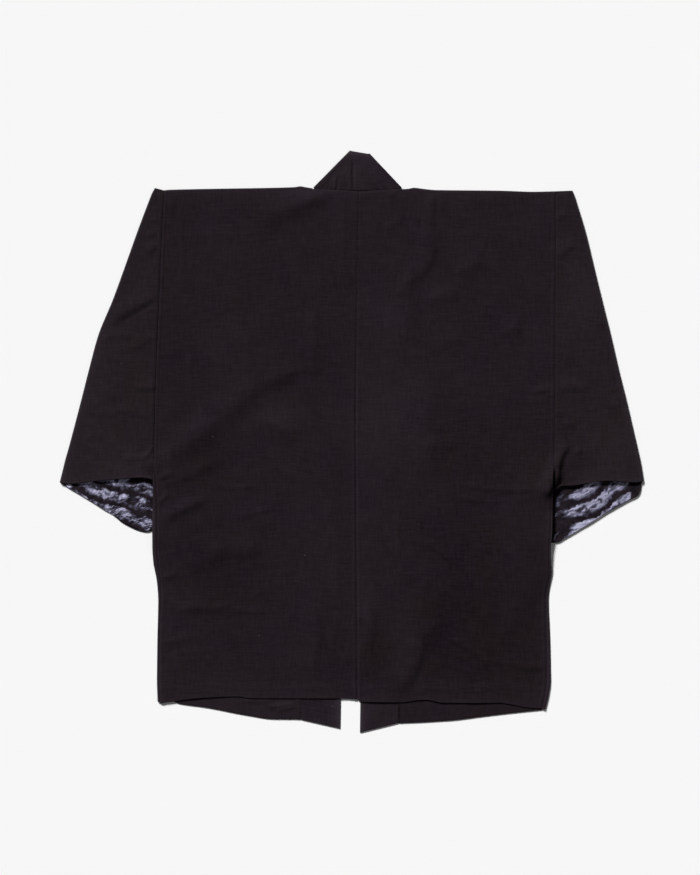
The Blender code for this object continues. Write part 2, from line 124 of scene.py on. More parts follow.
HEM_RISE_Y = -374.0    # from this height down,
SIDE_HEM_RISE = 1.6    # and its corners, at the side seams, this much
SIDE_HEM_RISE_Y = -350.0
HEM_START = 5.0        # the front's hem is turned up from this far in from the side
HEM_TURN = 0.5         # radius of a turned hem
BACK_HEM_DEPTH = 19.0  # how deep the hems are turned up
FRONT_HEM_DEPTH = 42.0
ROUND_STEPS = 8        # facets round a fold
TURN_STEPS = 5         # facets round a turned hem
FRONT_FADE_AND_SHADE = {"left": 0.12, "right": -0.02}   # how much paler each front is painted; the right one is darker as painted shade
LEG_SEAM_SHADOW = {"left": 0.1, "right": 0.8}    # how much darker the front is painted beside the collar's legs, as the shadow of the leg's raised edge

# The collar's seam edge and free edge where its legs end at the hem and turn at the neck
LEFT_LEG_HEM, LEFT_MITRE, RIGHT_MITRE, RIGHT_LEG_HEM = table(
    "seam_x seam_y free_x free_y",
    (-79.2, -431.0, -18.5, -444.8), (-58.4, 393.6, -1.6, 451.2),
    (76.2, 393.4, 26.0, 446.6), (71.6, -436.6, 12.9, -451.1),
)
# Each half of the garment: between underarm and settled, its edge rides over the sleeve's tucked corner
LEFT, RIGHT = table(
    "name sign leg mitre underarm tucked settling settled ride",
    ("left", -1, LEFT_LEG_HEM, LEFT_MITRE, -8.0, -34.0, -130.0, -216.0, 8.4),
    ("right", 1, RIGHT_LEG_HEM, RIGHT_MITRE, -36.0, -72.0, -138.0, -236.0, 9.2),
)

# The folds pressed and pulled into the upper side: a line through three points, the height of the ridge it
# makes, or depth of the trough where it is negative, and how wide it is to the left and right of its line
CREASE_COLUMNS = "start_x start_y bend_x bend_y end_x end_y height left right"
CREASES = table(
    CREASE_COLUMNS,
    # left shoulder to centre back
    (-27.7, 399.8, -91.2, 368.8, -168.7, 325.4, 2.7, 19, 22),
    (-33.9, 395.2, -75.7, 368.8, -117.6, 350.2, 1.5, 16, 9),
    (-173.4, 330.1, -212.1, 319.2, -257.1, 319.2, 0.7, 8, 10),
    (-74.2, 110, -133.1, 97.6, -182.7, 57.3, 2.5, 13, 22),
    (-148.6, 83.6, -205.9, 34, -266.4, -7.8, 2.6, 17, 24),
    (-201.3, 40.2, -249.3, 3, -300.5, -43.5, 2.7, 20, 20),
    (-40.1, 110, -77.3, 110, -114.5, 106.9, 1, 5, 9),
    (-71.1, 20.1, -117.6, 26.3, -164.1, 44.9, 1.5, 22, 8),
    (-269.5, 381.2, -281.9, 365.7, -286.5, 344, 0.6, 6, 9),
    (-263.3, 387.4, -263.3, 313, -260.2, 220, 0.6, 4, 4),
    (-252.4, 173.5, -250.9, 111.5, -250.9, 46.4, 0.8, 4, 4),
    (-164.1, 173.5, -162.5, 134.8, -159.4, 96, 0.9, 5, 4),
    (-60.2, 226.2, -60.2, 158, -58.7, 102.2, 1.2, 7, 8),
    (-13.7, 378.1, -12.2, 297.5, -12.2, 212.3, 0.4, 4, 4),
    (-80.4, 278.9, -85, 220, -75.7, 154.9, 0.5, 12, 9),
    (-198.2, 297.5, -226.1, 226.2, -213.7, 173.5, 0.2, 14, 12),
    # left side, under the arm
    (-275.7, -45, -288.1, -51.2, -302, -57.4, 1.8, 3.8, 4),
    (-195.1, -31.1, -241.6, -45, -297.4, -68.3, 1.5, 8, 13),
    (-136.2, -63.6, -176.5, -69.8, -226.1, -66.7, 0.7, 3.4, 6),
    (-213.7, -88.4, -257.1, -102.4, -297.4, -128.7, 2.4, 7.5, 10),
    (-300.5, -94.6, -291.2, -88.4, -281.9, -80.7, 1.3, 3.4, 4),
    (-108.3, -97.7, -148.6, -110.1, -195.1, -117.9, 0.8, 4.5, 9),
    (-123.8, -165.9, -179.6, -165.9, -235.4, -164.4, 2, 12, 17),
    (-198.2, -176.8, -227.6, -183, -257.1, -203.1, 1.2, 11, 16),
    (-269.5, -201.6, -281.9, -206.2, -297.4, -207.8, 1.5, 3.4, 4.5),
    (-182.7, -258.9, -227.6, -258.9, -281.9, -263.6, 1.6, 5, 9),
    (-123.8, -262, -165.6, -263.6, -201.3, -260.5, 0.7, 4.5, 7),
    (-241.6, -303.9, -266.4, -307, -294.3, -311.6, 1.1, 5.5, 7),
    (-241.6, -325.6, -260.2, -327.1, -278.8, -327.1, 0.4, 4, 5),
    # the back beside the centre seam
    (-27.7, -176.8, -23, -210.9, -24.6, -269.8, 1, 7, 6),
    (-52.5, -235.7, -55.6, -307, -58.7, -384.5, 1.2, 9, 9),
    (-18.4, -245, -30.8, -307, -33.9, -372.1, 0.6, 6, 7),
    (29.7, -245, 25, -303.9, 23.5, -369, 1.4, 8, 11),
    (73.1, -90, 71.5, -144.2, 74.6, -198.5, 0.7, 5, 6),
    (15.7, 238.6, 14.2, 158, 15.7, 65, 0.5, 5, 4),
    # right shoulder
    (125.8, 399.8, 125.8, 351.8, 122.7, 303.7, 1.6, 4, 16),
    (125.8, 340.9, 119.6, 285.1, 85.5, 241.7, 2.4, 10, 24),
    (133.5, 316.1, 127.3, 278.9, 99.4, 243.3, -0.7, 5, 5),
    (97.9, 266.5, 87, 244.8, 79.3, 220, 2.1, 9, 11),
    (152.1, 247.9, 136.6, 226.2, 111.8, 212.3, 1.4, 17, 8),
    (88.6, 244.8, 88.6, 196.8, 82.4, 148.7, 0.8, 15, 8),
    (138.2, 390.5, 141.3, 371.9, 139.7, 353.3, 0.5, 3.4, 3.4),
    (211, 286.7, 189.3, 277.4, 167.6, 255.7, 1.9, 14, 12),
    (150.6, 207.6, 159.9, 235.5, 178.5, 255.7, 0.9, 9, 7.5),
    (173.8, 159.6, 152.1, 158, 127.3, 154.9, 0.9, 6.5, 9),
    (269.9, 181.3, 248.2, 178.2, 226.5, 170.4, 1.6, 13, 12),
    (52.9, 322.3, 68.4, 342.5, 82.4, 356.4, 1.2, 9, 9),
    (68.4, 393.6, 62.2, 387.4, 57.6, 378.1, 2.2, 5, 5),
    (167.6, -1.6, 141.3, -4.7, 113.4, -6.3, 1.6, 9, 11),
    (118, 99.1, 121.1, 18.5, 122.7, -77.6, 1.9, 16, 26),
    # right armhole and side
    (322.6, 79, 299.4, 80.5, 276.1, 75.9, 1.5, 4.4, 5.5),
    (318, 72.8, 308.7, 72.8, 299.4, 72.8, 1.2, 3.2, 3.2),
    (307.1, 65, 283.9, 61.9, 257.5, 66.6, 0.5, 4, 4),
    (304, -66.7, 252.9, -76, 211, -74.5, 1.4, 3.4, 6),
    (232.7, -74.5, 198.6, -71.4, 158.3, -65.2, 1.1, 3.4, 5.5),
    (238.9, -93.1, 204.8, -93.1, 152.1, -83.8, 0.8, 3.4, 4.5),
    (288.5, -85.3, 266.8, -88.4, 248.2, -91.5, 0.5, 3.4, 4.5),
    (164.5, -198.5, 138.2, -170.6, 110.3, -155.1, 1.9, 4.4, 7),
    (144.4, -276, 121.1, -294.6, 107.2, -316.3, 1.9, 10, 20),
    (110.3, -303.9, 102.5, -330.2, 101, -359.7, 3, 9, 18),
    (104.1, -344.2, 93.2, -364.3, 77.7, -387.6, 2.4, 8, 20),
    (111.8, -398.4, 111.8, -381.4, 111.8, -362.8, 0.9, 5, 5),
    (201.7, -338, 173.8, -316.3, 144.4, -300.8, 1.6, 3.6, 7),
    (238.9, -341.1, 217.2, -339.5, 194, -331.8, 0.8, 4.4, 6),
    (311.8, -348.8, 273, -348.8, 234.3, -341.1, 1.5, 5, 9),
    (211, -172.1, 211, -229.5, 218.8, -294.6, 0.9, 12, 12),
    (111.8, -204.7, 110.3, -245, 108.7, -279.1, 0.8, 5, 6),
    (238.9, -314.7, 248.2, -272.9, 260.6, -232.6, 1, 9, 9),
    (170.7, -183, 183.1, -229.5, 176.9, -276, 0.5, 10, 9),
    # left sleeve
    (-300.5, 224.7, -334.6, 210.7, -387.3, 176.6, 1.8, 6.6, 15),
    (-305.1, 216.9, -331.5, 199.9, -368.7, 178.2, -0.8, 3.4, 3.4),
    (-300.5, 172, -323.7, 158, -362.5, 139.4, 1.2, 6, 10),
    (-328.4, 165.8, -359.4, 164.2, -390.4, 164.2, 0.9, 4, 6),
    (-300.5, 83.6, -319.1, 83.6, -337.7, 82.1, 1.6, 3.8, 8),
    (-303.6, 40.2, -343.9, 44.9, -412.1, 46.4, 0.9, 6, 9),
    (-305.1, -6.3, -312.9, -15.6, -323.7, -28, 1.4, 3.6, 5),
    (-312.9, -26.4, -337.7, -24.9, -362.5, -24.9, 1.1, 5.5, 6),
    (-300.5, 305.3, -309.8, 300.6, -322.2, 288.2, 1.8, 5.5, 9),
    (-298.9, 359.5, -306.7, 359.5, -316, 359.5, 0.9, 3, 3.4),
    (-298.9, 342.5, -308.2, 342.5, -317.5, 342.5, 0.9, 3, 3.4),
    (-300.5, 325.4, -309.8, 323.9, -317.5, 323.9, 0.8, 3, 3.4),
    (-396.6, 15.4, -405.9, 9.2, -421.4, 6.1, 0.4, 5, 6),
    # right sleeve
    (335, 353.3, 327.3, 348.7, 316.4, 340.9, 0.9, 4.6, 4.6),
    (353.6, 306.8, 331.9, 300.6, 318, 282, 1.5, 5, 13),
    (318, 288.2, 313.3, 251, 311.8, 210.7, 0.5, 3.4, 3),
    (372.2, 80.5, 345.9, 86.7, 316.4, 86.7, 1.5, 6, 11),
    (424.9, 61.9, 407.9, 57.3, 387.7, 58.8, 0.8, 3, 4.4),
    (350.5, 27.8, 336.6, 24.7, 319.5, 23.2, 0.7, 5, 6),
    (393.9, 18.5, 378.4, -6.3, 372.2, -31.1, 0.5, 7, 9),
    (339.7, -3.2, 319.5, -29.5, 313.3, -59, 3.8, 5, 11),
    (338.1, -12.5, 322.6, -37.3, 307.1, -76, -1.1, 4.6, 4.6),
    (358.3, -10.9, 352.1, -15.6, 345.9, -23.3, 2.2, 5, 6),
    (325.7, -23.3, 314.9, -48.1, 304, -74.5, 4.4, 5, 12),
    (321.1, -40.4, 310.2, -65.2, 296.3, -93.1, 6.5, 6, 12),
)
# Small pleats in the left front, where it shows below the back's hem
FRONT_CREASES = table(
    CREASE_COLUMNS,
    (-133.1, -409.3, -109.8, -409.3, -83.5, -403.1, 1.4, 2.8, 3.4),
    (-120.7, -415.5, -102.1, -413.9, -83.5, -409.3, 1.3, 2.6, 3.4),
    (-179.6, -403.1, -148.6, -401.5, -117.6, -401.5, 0.9, 2.8, 3.4),
)
STEPS_ALONG = 12       # straight parts that stand for a crease's curve
WANDER = 3.0           # how far the creases stray from a smooth curve
# Where the cloth is painted paler, as its dye wears away, or darker where the value is negative. Some darker
# patches are painted shade: the black in the right underarm's fold, the shade below the crease beside the
# left underarm, and the lower right of the back, darker as though the light fell off towards it
FADE_AND_SHADE_PATCHES = table(
    "x y wide tall faded",
    (-109.8, 43.3, 38, 17, 0.22), (56, 34, 60, 85, 0.16), (57.6, 198.3, 22, 46, 0.16),
    (125.8, 237.1, 17, 11, 0.14), (21.9, -245, 12, 20, 0.14), (-10.6, 351.8, 28, 50, 0.05),
    (-86.6, 379.7, 26, 9, 0.1), (-201.3, 127, 30, 60, 0.07), (-33.9, -183, 80, 120, 0.04),
    (62.2, 127, 70, 120, 0.05), (-212.1, -245, 90, 110, -0.05), (80.8, -300.8, 16, 40, 0.06),
    (127.3, -325.6, 26, 62, -0.1), (77.7, -387.6, 16, 18, -0.14), (155.2, -245, 46, 90, -0.07),
    # painted shade: below the crease beside the left underarm, and in the right underarm's fold, black where
    # deepest
    (266.8, -68.3, 62, 44, -0.1), (-244.7, -24.9, 56, 30, -0.15), (335, -43.5, 20, 34, -0.1),
    (316.4, -74.5, 9, 18, -0.4), (-157.9, 353.3, 44, 10, -0.05), (-130, 348.7, 40, 9, -0.07),
    (-281.9, -183, 14, 60, 0.07), (176.9, 103.8, 16, 18, 0.08), (-52.5, 150.3, 20, 60, -0.06),
    # painted shade: the lower right of the back, darker as though the light fell off towards it
    (161.4, -12.5, 60, 60, -0.06), (189.3, -206.2, 80, 130, -0.13), (214.1, -330.2, 100, 70, -0.13),
    (-226.1, -190.7, 44, 30, -0.1), (37.4, -314.7, 24, 44, -0.12), (-41.6, -307, 24, 80, -0.05),
    (-278.8, 365.7, 14, 24, -0.1), (-399.7, 96, 34, 90, 0.13), (-374.9, -20.2, 60, 40, 0.07),
    (-337.7, 235.5, 22, 50, 0.06), (358.3, 220, 30, 60, 0.18), (403.2, -12.5, 50, 40, 0.07),
    (341.2, 21.6, 16, 12, -0.1), (0.2, 418.4, 44, 26, 0.14),
)


def mix(a, b, part):
    return a + (b - a) * part


def smooth(part):
    part = np.clip(part, 0.0, 1.0)
    return part * part * (3.0 - 2.0 * part)


def bell(distance, width):
    return np.exp(-(distance / width) ** 2)


def below(y, height, over):
    """0 down to a height, and a soft rise to 1 over a distance below it."""
    return smooth((height - y) / over)


def curve(knots, values, at):
    """Values read at places along a smooth line through the knots that never overshoots them."""
    knots, values = np.asarray(knots, float), np.asarray(values, float)
    gaps = np.diff(knots)
    slopes = np.diff(values) / gaps
    both = slopes[:-1] * slopes[1:]
    inner = np.where(both > 0.0, 2.0 * both / np.where(both > 0.0, slopes[:-1] + slopes[1:], 1.0), 0.0)
    tangents = np.concatenate((slopes[:1], inner, slopes[-1:]))
    at = np.clip(at, knots[0], knots[-1])
    low = np.clip(np.searchsorted(knots, at, side="right") - 1, 0, len(gaps) - 1)
    gap, part = gaps[low], (at - knots[low]) / gaps[low]
    leaving = tangents[low] * gap * part * (1.0 - part) ** 2
    arriving = -tangents[low + 1] * gap * (1.0 - part) * part ** 2
    return mix(values[low], values[low + 1], smooth(part)) + leaving + arriving


def read(rows, key, at, want):
    """The column `want` of a table where its column `key` is `at`."""
    rows = sorted(rows, key=lambda row: getattr(row, key))
    return curve([getattr(row, key) for row in rows], [getattr(row, want) for row in rows], at)


def side_x(half, y):
    return read(BODY_SECTIONS, "y", y, half.name)


def middle_x(y):
    return read(BODY_SECTIONS, "y", y, "centre")


def fold_y(x):
    return read(SHOULDER_FOLD, "x", x, "y")


def neck_seam_y(x):
    """The neck seam, bowed down to the centre back."""
    part = np.clip((x - LEFT_MITRE.seam_x) / (RIGHT_MITRE.seam_x - LEFT_MITRE.seam_x), 0.0, 1.0)
    return NECK_SEAM_Y - NECK_SEAM_BOW * np.sin(math.pi * part)


def collar_seam_x(half, y):
    """The front's edge along the collar: clear of the mitre at the neck, beside the leg at the hem."""
    neck_x = half.mitre.seam_x + half.sign * NECK_POINT_ROOM
    hem_x = half.leg.seam_x + half.sign * SEAM
    return mix(neck_x, hem_x, (half.mitre.seam_y - y) / (half.mitre.seam_y - half.leg.seam_y))


def spread(length, fine, coarse, at_start=True, at_end=True, kept=0.0):
    """Parts of a length, from 0 to 1: close together at its ends and over the first `kept`, wider between."""
    growing, step = [], fine
    while step < coarse:
        growing.append(step)
        step *= 1.3
    head = [fine] * int(kept / fine) + growing if at_start else []
    tail = growing[::-1] if at_end else []
    middle = length - sum(head) - sum(tail)
    count = max(round(middle / coarse), 1)
    return np.concatenate(([0.0], np.cumsum(head + [middle / count] * count + tail) / length))


def swell(x, y, size, seed):
    """A smooth, uneven rise and fall between -1 and 1 whose humps are about as wide as size."""
    humps = np.random.default_rng(seed).uniform(-1.0, 1.0, (64, 64))
    u, v = x / size + 31.3, y / size + 31.7
    column, row = np.floor(u).astype(int), np.floor(v).astype(int)
    across, up = smooth(u - column), smooth(v - row)
    corners = [[humps[(column + i) % 64, (row + j) % 64] for i in (0, 1)] for j in (0, 1)]
    return mix(mix(*corners[0], across), mix(*corners[1], across), up)


def crease_height(crease, x, y):
    """What one crease adds at each point: most along its line, nothing past its ends."""
    along = np.linspace(0.0, 1.0, STEPS_ALONG + 1)[:, None]
    start, bend, end = np.reshape(crease[:6], (3, 2))
    pull = 2.0 * bend - (start + end) / 2
    line = (1 - along) ** 2 * start + 2 * along * (1 - along) * pull + along ** 2 * end
    reach = 3.0 * max(crease.left, crease.right)
    low, high = line.min(axis=0) - reach, line.max(axis=0) + reach
    near = (x > low[0]) & (x < high[0]) & (y > low[1]) & (y < high[1])
    px, py = x[near], y[near]
    nearest, place, side = np.full(px.shape, 1e9), np.zeros_like(px), np.zeros_like(px)
    for step in range(STEPS_ALONG):
        run_x, run_y = line[step + 1] - line[step]
        off_x, off_y = px - line[step, 0], py - line[step, 1]
        held = np.clip((off_x * run_x + off_y * run_y) / (run_x ** 2 + run_y ** 2), 0.0, 1.0)
        away = np.hypot(off_x - held * run_x, off_y - held * run_y)
        closer = away < nearest
        nearest = np.where(closer, away, nearest)
        place = np.where(closer, (step + held) / STEPS_ALONG, place)
        side = np.where(closer, run_x * off_y - run_y * off_x, side)
    fade = smooth(place / 0.3) * smooth((1.0 - place) / 0.3)
    height = np.zeros_like(x)
    height[near] = crease.height * fade * bell(nearest, np.where(side > 0.0, crease.left, crease.right))
    return height


def creased(creases, x, y):
    return sum(crease_height(crease, x, y) for crease in creases)


def folds(x, y):
    """How far the creases and the cloth's own unevenness lift its upper side."""
    stray_x, stray_y = x + WANDER * swell(x, y, 34.0, 1), y + WANDER * swell(x, y, 34.0, 2)
    stray_x, stray_y = stray_x + 0.8 * swell(x, y, 9.0, 3), stray_y + 0.8 * swell(x, y, 9.0, 4)
    broad = 0.42 * swell(x, y, 74.0, 5) + 0.22 * swell(x, y, 31.0, 6)
    narrow = 0.10 * swell(x, y / 2.6, 11.0, 7) + 0.08 * swell(x / 2.6, y, 11.0, 8)
    return creased(CREASES, stray_x, stray_y) + broad + narrow


def fade_and_shade_patches(x, y):
    """How much paler, or darker where the value is negative, the upper side is painted at each point: dye
    wearing away, and in some patches painted shade.
    """
    return sum(patch.faded * bell(x - patch.x, patch.wide) * bell(y - patch.y, patch.tall)
               for patch in FADE_AND_SHADE_PATCHES)


def rim(distance):
    """A folded edge's paler rim: bright at the very edge, and less so further from it."""
    return 0.50 * np.exp(-distance / 1.6) + 0.50 * np.exp(-distance / 6.5)


def seam_edge(distance, depth, ridge):
    """A sewn edge: it dips to the stitches and stands a little proud beside them, over its allowance."""
    return ridge * bell(distance - 3.6, 2.0) - depth * bell(distance, 1.5)


def pucker(distance, along, seed):
    """Short ripples that the sewing thread draws across a seam."""
    return 0.16 * np.exp(-distance / 7.0) * swell(along, distance * 0.0, 5.5, seed)


def half_turn(steps):
    """Angles on the way round a half turn, without its ends."""
    return np.linspace(0.0, math.pi, steps + 1)[1:-1]


def stack(*points):
    return np.stack(np.broadcast_arrays(*points), axis=-1)


def show(name, data):
    thing = bpy.data.objects.new(name, data)
    bpy.context.scene.collection.objects.link(thing)
    return thing


def grid_mesh(name, columns, rows, size=1.0):
    grid = bmesh.new()
    bmesh.ops.create_grid(grid, x_segments=columns, y_segments=rows, size=size)
    data = bpy.data.meshes.new(name)
    grid.to_mesh(data)
    grid.free()
    return data


def cloth_piece(name, spots, cut, worn, material, gone=None):
    """A sheet of cloth from rows of points, with each point's place on the flat cut and a mark that makes it
    paler or darker: wear, binding, and in places painted shade.
    """
    data = grid_mesh(name, spots.shape[1] - 1, spots.shape[0] - 1)
    data.vertices.foreach_set("co", (spots.reshape(-1, 3) * MM).ravel())
    corners = np.zeros(len(data.loops), int)
    data.loops.foreach_get("vertex_index", corners)
    data.uv_layers.new(name="cut").data.foreach_set("uv", (cut.reshape(-1, 2)[corners] * MM).ravel())
    data.attributes.new("worn", "FLOAT", "POINT").data.foreach_set("value", worn.ravel().astype(np.float32))
    if gone is not None:
        trimmed = bmesh.new()
        trimmed.from_mesh(data)
        outside = gone.ravel()
        faces = [face for face in trimmed.faces if all(outside[corner.index] for corner in face.verts)]
        bmesh.ops.delete(trimmed, geom=faces, context="FACES")
        trimmed.to_mesh(data)
        trimmed.free()
    data.shade_smooth()
    data.materials.append(material)
    piece = show(name, data)
    wall = piece.modifiers.new("wall", "SOLIDIFY")
    wall.thickness = WALL * MM
    wall.offset = 0.0
    wall.use_even_offset = False
    rounding = piece.modifiers.new("rounding", "BEVEL")
    rounding.width = 0.22 * MM
    rounding.segments = 2
    rounding.limit_method = "ANGLE"
    rounding.angle_limit = math.radians(50.0)
    rounding.use_clamp_overlap = True
    return piece


def body_levels(half, x, y):
    """Heights of the back and of the front at a point, before any folds."""
    inwards = (side_x(half, y) - x) * half.sign
    deep = np.maximum(inwards, 0.0)
    over = 1.0 - smooth((inwards - TUCK_FLAT) / TUCK_SLOPE)
    over = over * below(y, half.underarm + 0.6 * deep, half.underarm - half.tucked + 1.2 * deep)
    over = over * (1.0 - below(y, half.settling + 0.4 * deep, half.settling - half.settled + 2.4 * deep))
    back_edge = mix(SLEEVE_BACK_LEVEL, FRONT_LEVEL + LAYER, below(y, half.underarm, 60.0))
    back_edge = back_edge + SIDE_HEM_RISE * below(y, SIDE_HEM_RISE_Y, 40.0)
    leg_part = (LEFT_MITRE.seam_y - y) / (LEFT_MITRE.seam_y - LEFT_LEG_HEM.seam_y)
    gap_left = mix(LEFT_MITRE.free_x, LEFT_LEG_HEM.free_x, leg_part)
    gap_right = mix(RIGHT_MITRE.free_x, RIGHT_LEG_HEM.free_x, leg_part)
    from_middle = abs(x - (gap_left + gap_right) / 2) / (gap_right - gap_left)
    off_front = HEM_RISE * (1.0 + 0.7 * swell(x, 0.0 * x, 34.0, 24)) * below(y, HEM_RISE_Y, 7.0)
    inner = mix(SAG_LEVEL, BACK_LEVEL, smooth(from_middle)) + off_front
    back = mix(back_edge, inner, smooth(inwards / ARMHOLE_REACH))
    return mix(back, half.ride + LAYER, over), mix(FRONT_LEVEL, half.ride, over)


def stagger(half, y):
    """How far out the front's armhole seam lies from the back's: nothing at its two ends."""
    return half.sign * SEAM_STAGGER * smooth((y - half.underarm) / 20.0) * below(y, TOP_Y, 20.0)


def body_piece(half, material):
    """One length, whose rows are those of the back's hem, the back, the shoulder, the front and its hem."""
    shoulder = spread(FRONT_WIDTH, 0.7, 3.0, kept=10.0)
    neck = spread(NECK_WIDTH, 0.7, 3.0, at_start=False)[1:]

    def centre_x(y):
        return middle_x(y) + half.sign * SEAM / 2

    neck_part = (collar_seam_x(half, TOP_Y) - side_x(half, TOP_Y)) / (centre_x(TOP_Y) - side_x(half, TOP_Y))
    across = np.concatenate((shoulder * neck_part, mix(neck_part, 1.0, neck)))
    front_across = np.minimum(across / neck_part, 1.0)
    last = len(shoulder) - 1

    def back_edge_x(y):
        return side_x(half, y) - half.sign * (read(SEAM_INSETS, "y", y, half.name) + SEAM)

    def relief(x, y):
        """Folds of the back, flattened where it meets the edges."""
        inwards = (side_x(half, y) - x) * half.sign
        height = folds(x, y) * below(y, fold_y(x), FOLD_REACH)
        height = np.maximum(height, -0.55 * smooth(inwards / 30.0) - 0.1)
        centre, edge = abs(x - middle_x(y)), abs(back_edge_x(y) - x)
        firm = mix(0.35, 1.0, below(y, 250.0, 200.0))
        height = height + firm * seam_edge(centre, 0.65, 0.5) + pucker(centre, y, 11)
        under = below(y, -20.0, 30.0)
        armhole = SEAM_DEPTH[half.name] * (1.0 - under)
        height = height + seam_edge(edge, armhole + 0.5 * under, 0.8 * armhole + 0.3 * under)
        height = height + (pucker(edge, y, 12) - 0.22 * bell(edge - 6.4, 1.2)) * (1.0 - under)
        inside_neck = smooth(1.0 + (NECK_HALF_WIDTH - abs(x - NECK_MIDDLE)) / 4.0)
        return height + inside_neck * seam_edge(abs(neck_seam_y(x) - y), 0.12, 0.2)

    def back_spots(y):
        """Points of the back with their place across the cut."""
        x = mix(back_edge_x(y), centre_x(y), across)
        return stack(x, y, body_levels(half, x, y)[0] + relief(x, y), x)

    def front_spots(y):
        """The same for the front, whose side edge rolls round to the side seam on the back."""
        side, seam = side_x(half, y) + stagger(half, y), collar_seam_x(half, y)
        inset = read(SEAM_INSETS, "y", y, half.name)
        back, front = body_levels(half, side, y)
        radius = (back - front) / 2
        rolled = smooth(inset / 1.4)
        wrap = rolled * (math.pi * radius + np.maximum(inset - radius, 0.0)) * below(y, ROLL_Y, 12.0)
        turn_x = side - half.sign * radius * rolled
        distance = front_across * (abs(seam - turn_x) + wrap) - wrap
        angle = np.clip(-distance / radius, 0.0, math.pi)
        top_run = np.maximum(-distance - math.pi * radius, 0.0)
        x = turn_x - half.sign * np.where(distance >= 0.0, distance, top_run - radius * np.sin(angle))
        back, front = body_levels(half, x, y)
        lumps = np.maximum(0.3 * swell(x, y, 60.0, 21) + 0.2 * swell(x, y, 18.0, 22), 0.0)
        lumps = lumps * smooth(distance / 20.0) + 0.25 * bell(abs(x - seam) - 4.0, 2.5)
        lumps = lumps * smooth(back - front - 1.7) + creased(FRONT_CREASES, x, y)
        rolling = np.where(angle < math.pi, mix(front, back, (1.0 - np.cos(angle)) / 2), back + relief(x, y))
        return stack(x, y, np.where(distance >= 0.0, front + lumps, rolling), turn_x - half.sign * distance)

    def hem_turn(row, y, sign, turn):
        """The rows of a turned hem, which bends up or down from a row of points, as sign says."""
        turn = turn[:, None]
        return stack(row[:, 0], y - HEM_TURN * np.sin(turn),
                     row[:, 2] + sign * HEM_TURN * (1.0 - np.cos(turn)), row[:, 3])

    # the back, from hem to neck
    top_x = mix(back_edge_x(TOP_Y), centre_x(TOP_Y), across)
    top_back, top_front = body_levels(half, top_x, np.full_like(top_x, TOP_Y))
    radius = (top_back - top_front) / 2
    on_shoulder = across <= neck_part + 1e-9
    top = np.where(on_shoulder, fold_y(top_x) - radius - WALL / 2, neck_seam_y(top_x) - NECK_SEAM)
    hem_x = mix(back_edge_x(HEM_Y), centre_x(HEM_Y), across)
    back_hem = read(BACK_HEM, "x", hem_x, "y") + HEM_TURN + WALL / 2
    back = back_spots(mix(back_hem, top, spread(BACK_LENGTH, 1.2, 3.1)[:, None]))
    inner_hem = back_spots(back_hem + np.linspace(1.0, 0.0, 6)[:, None] * BACK_HEM_DEPTH)
    inner_hem = inner_hem - [0.0, 0.0, 2.0 * HEM_TURN, 0.0]
    back_turn = hem_turn(back[0], back_hem, -1.0, half_turn(TURN_STEPS + 1)[::-1])
    # over the shoulder, and for the columns of the neck nothing
    turn = half_turn(ROUND_STEPS)[:, None]
    top_x, top, radius, middle = [line[np.minimum(np.arange(len(across)), last)]
                                  for line in (top_x, top, radius, (top_back + top_front) / 2)]
    over = stack(top_x, top + radius * np.sin(turn), middle + radius * np.cos(turn), top_x)
    # the front, from the shoulder to its hem
    hem_x = mix(side_x(half, HEM_Y), collar_seam_x(half, HEM_Y), front_across)
    front_hem = read(FRONT_HEM, "x", hem_x, "y") + HEM_TURN + WALL / 2
    front = front_spots(mix(top, front_hem, spread(FRONT_LENGTH, 1.2, 9.0)[:, None]))
    front_turn = hem_turn(front[-1], front_hem, 1.0, half_turn(TURN_STEPS + 1))
    outer_hem = front_spots(front_hem + np.linspace(0.0, 1.0, 20)[:, None] * FRONT_HEM_DEPTH)
    outer_hem = outer_hem + [0.0, 0.0, 2.0 * HEM_TURN, 0.0]
    spots = np.concatenate((inner_hem, back_turn, back, over, front, front_turn, outer_hem))
    spots, flat_x = spots[:, :, :3], spots[:, :, 3]

    steps = np.linalg.norm(np.diff(spots, axis=0), axis=-1)
    length = np.concatenate((np.zeros((1, len(across))), np.cumsum(steps, axis=0)))
    first_back = len(inner_hem) + len(back_turn)
    length = length - length[first_back + len(back) - 1] + TOP_Y

    row, column = np.arange(len(spots))[:, None], np.arange(len(across))[None, :]
    x, y = spots[:, :, 0], spots[:, :, 1]
    upper = (row >= first_back) & (row < first_back + len(back))
    side_edge = abs(x - side_x(half, y)) + 100.0 * smooth((y + 110.0) / 20.0)
    worn = rim(abs(length - TOP_Y - 2.0)) * 0.7 + rim(side_edge) * 0.8
    worn = worn + 0.05 * np.exp(-abs(x - back_edge_x(y)) / 3.0)
    worn = worn + 0.12 * bell(abs(x - middle_x(y)) - 3.3, 1.3) * below(y, 210.0, 100.0)
    worn = worn + 0.25 * np.exp(-abs(row - first_back) / 3.0)
    # beside the collar's legs the front is painted darker as the shadow of the leg's raised edge, and each
    # front's paleness includes painted shade
    shadow_beside_leg = LEG_SEAM_SHADOW[half.name] * bell(x - collar_seam_x(half, y), 2.2)
    worn = worn + np.where(upper, fade_and_shade_patches(x, y), FRONT_FADE_AND_SHADE[half.name] - shadow_beside_leg)
    gone = (column >= last) & (row >= first_back + len(back) - 1)
    at_side = (side_x(half, HEM_Y) - flat_x) * half.sign < HEM_START
    gone = gone | at_side & (row >= len(spots) - len(outer_hem) - TURN_STEPS - 1)
    return cloth_piece("body_cloth_" + half.name, spots, stack(flat_x, length), worn, material, gone)


# Black cotton: plain-woven, with slubs in warp and weft, paler where folds and edges wear, and painted darker
# in places as shade
THREADS_A_METRE = 1100.0


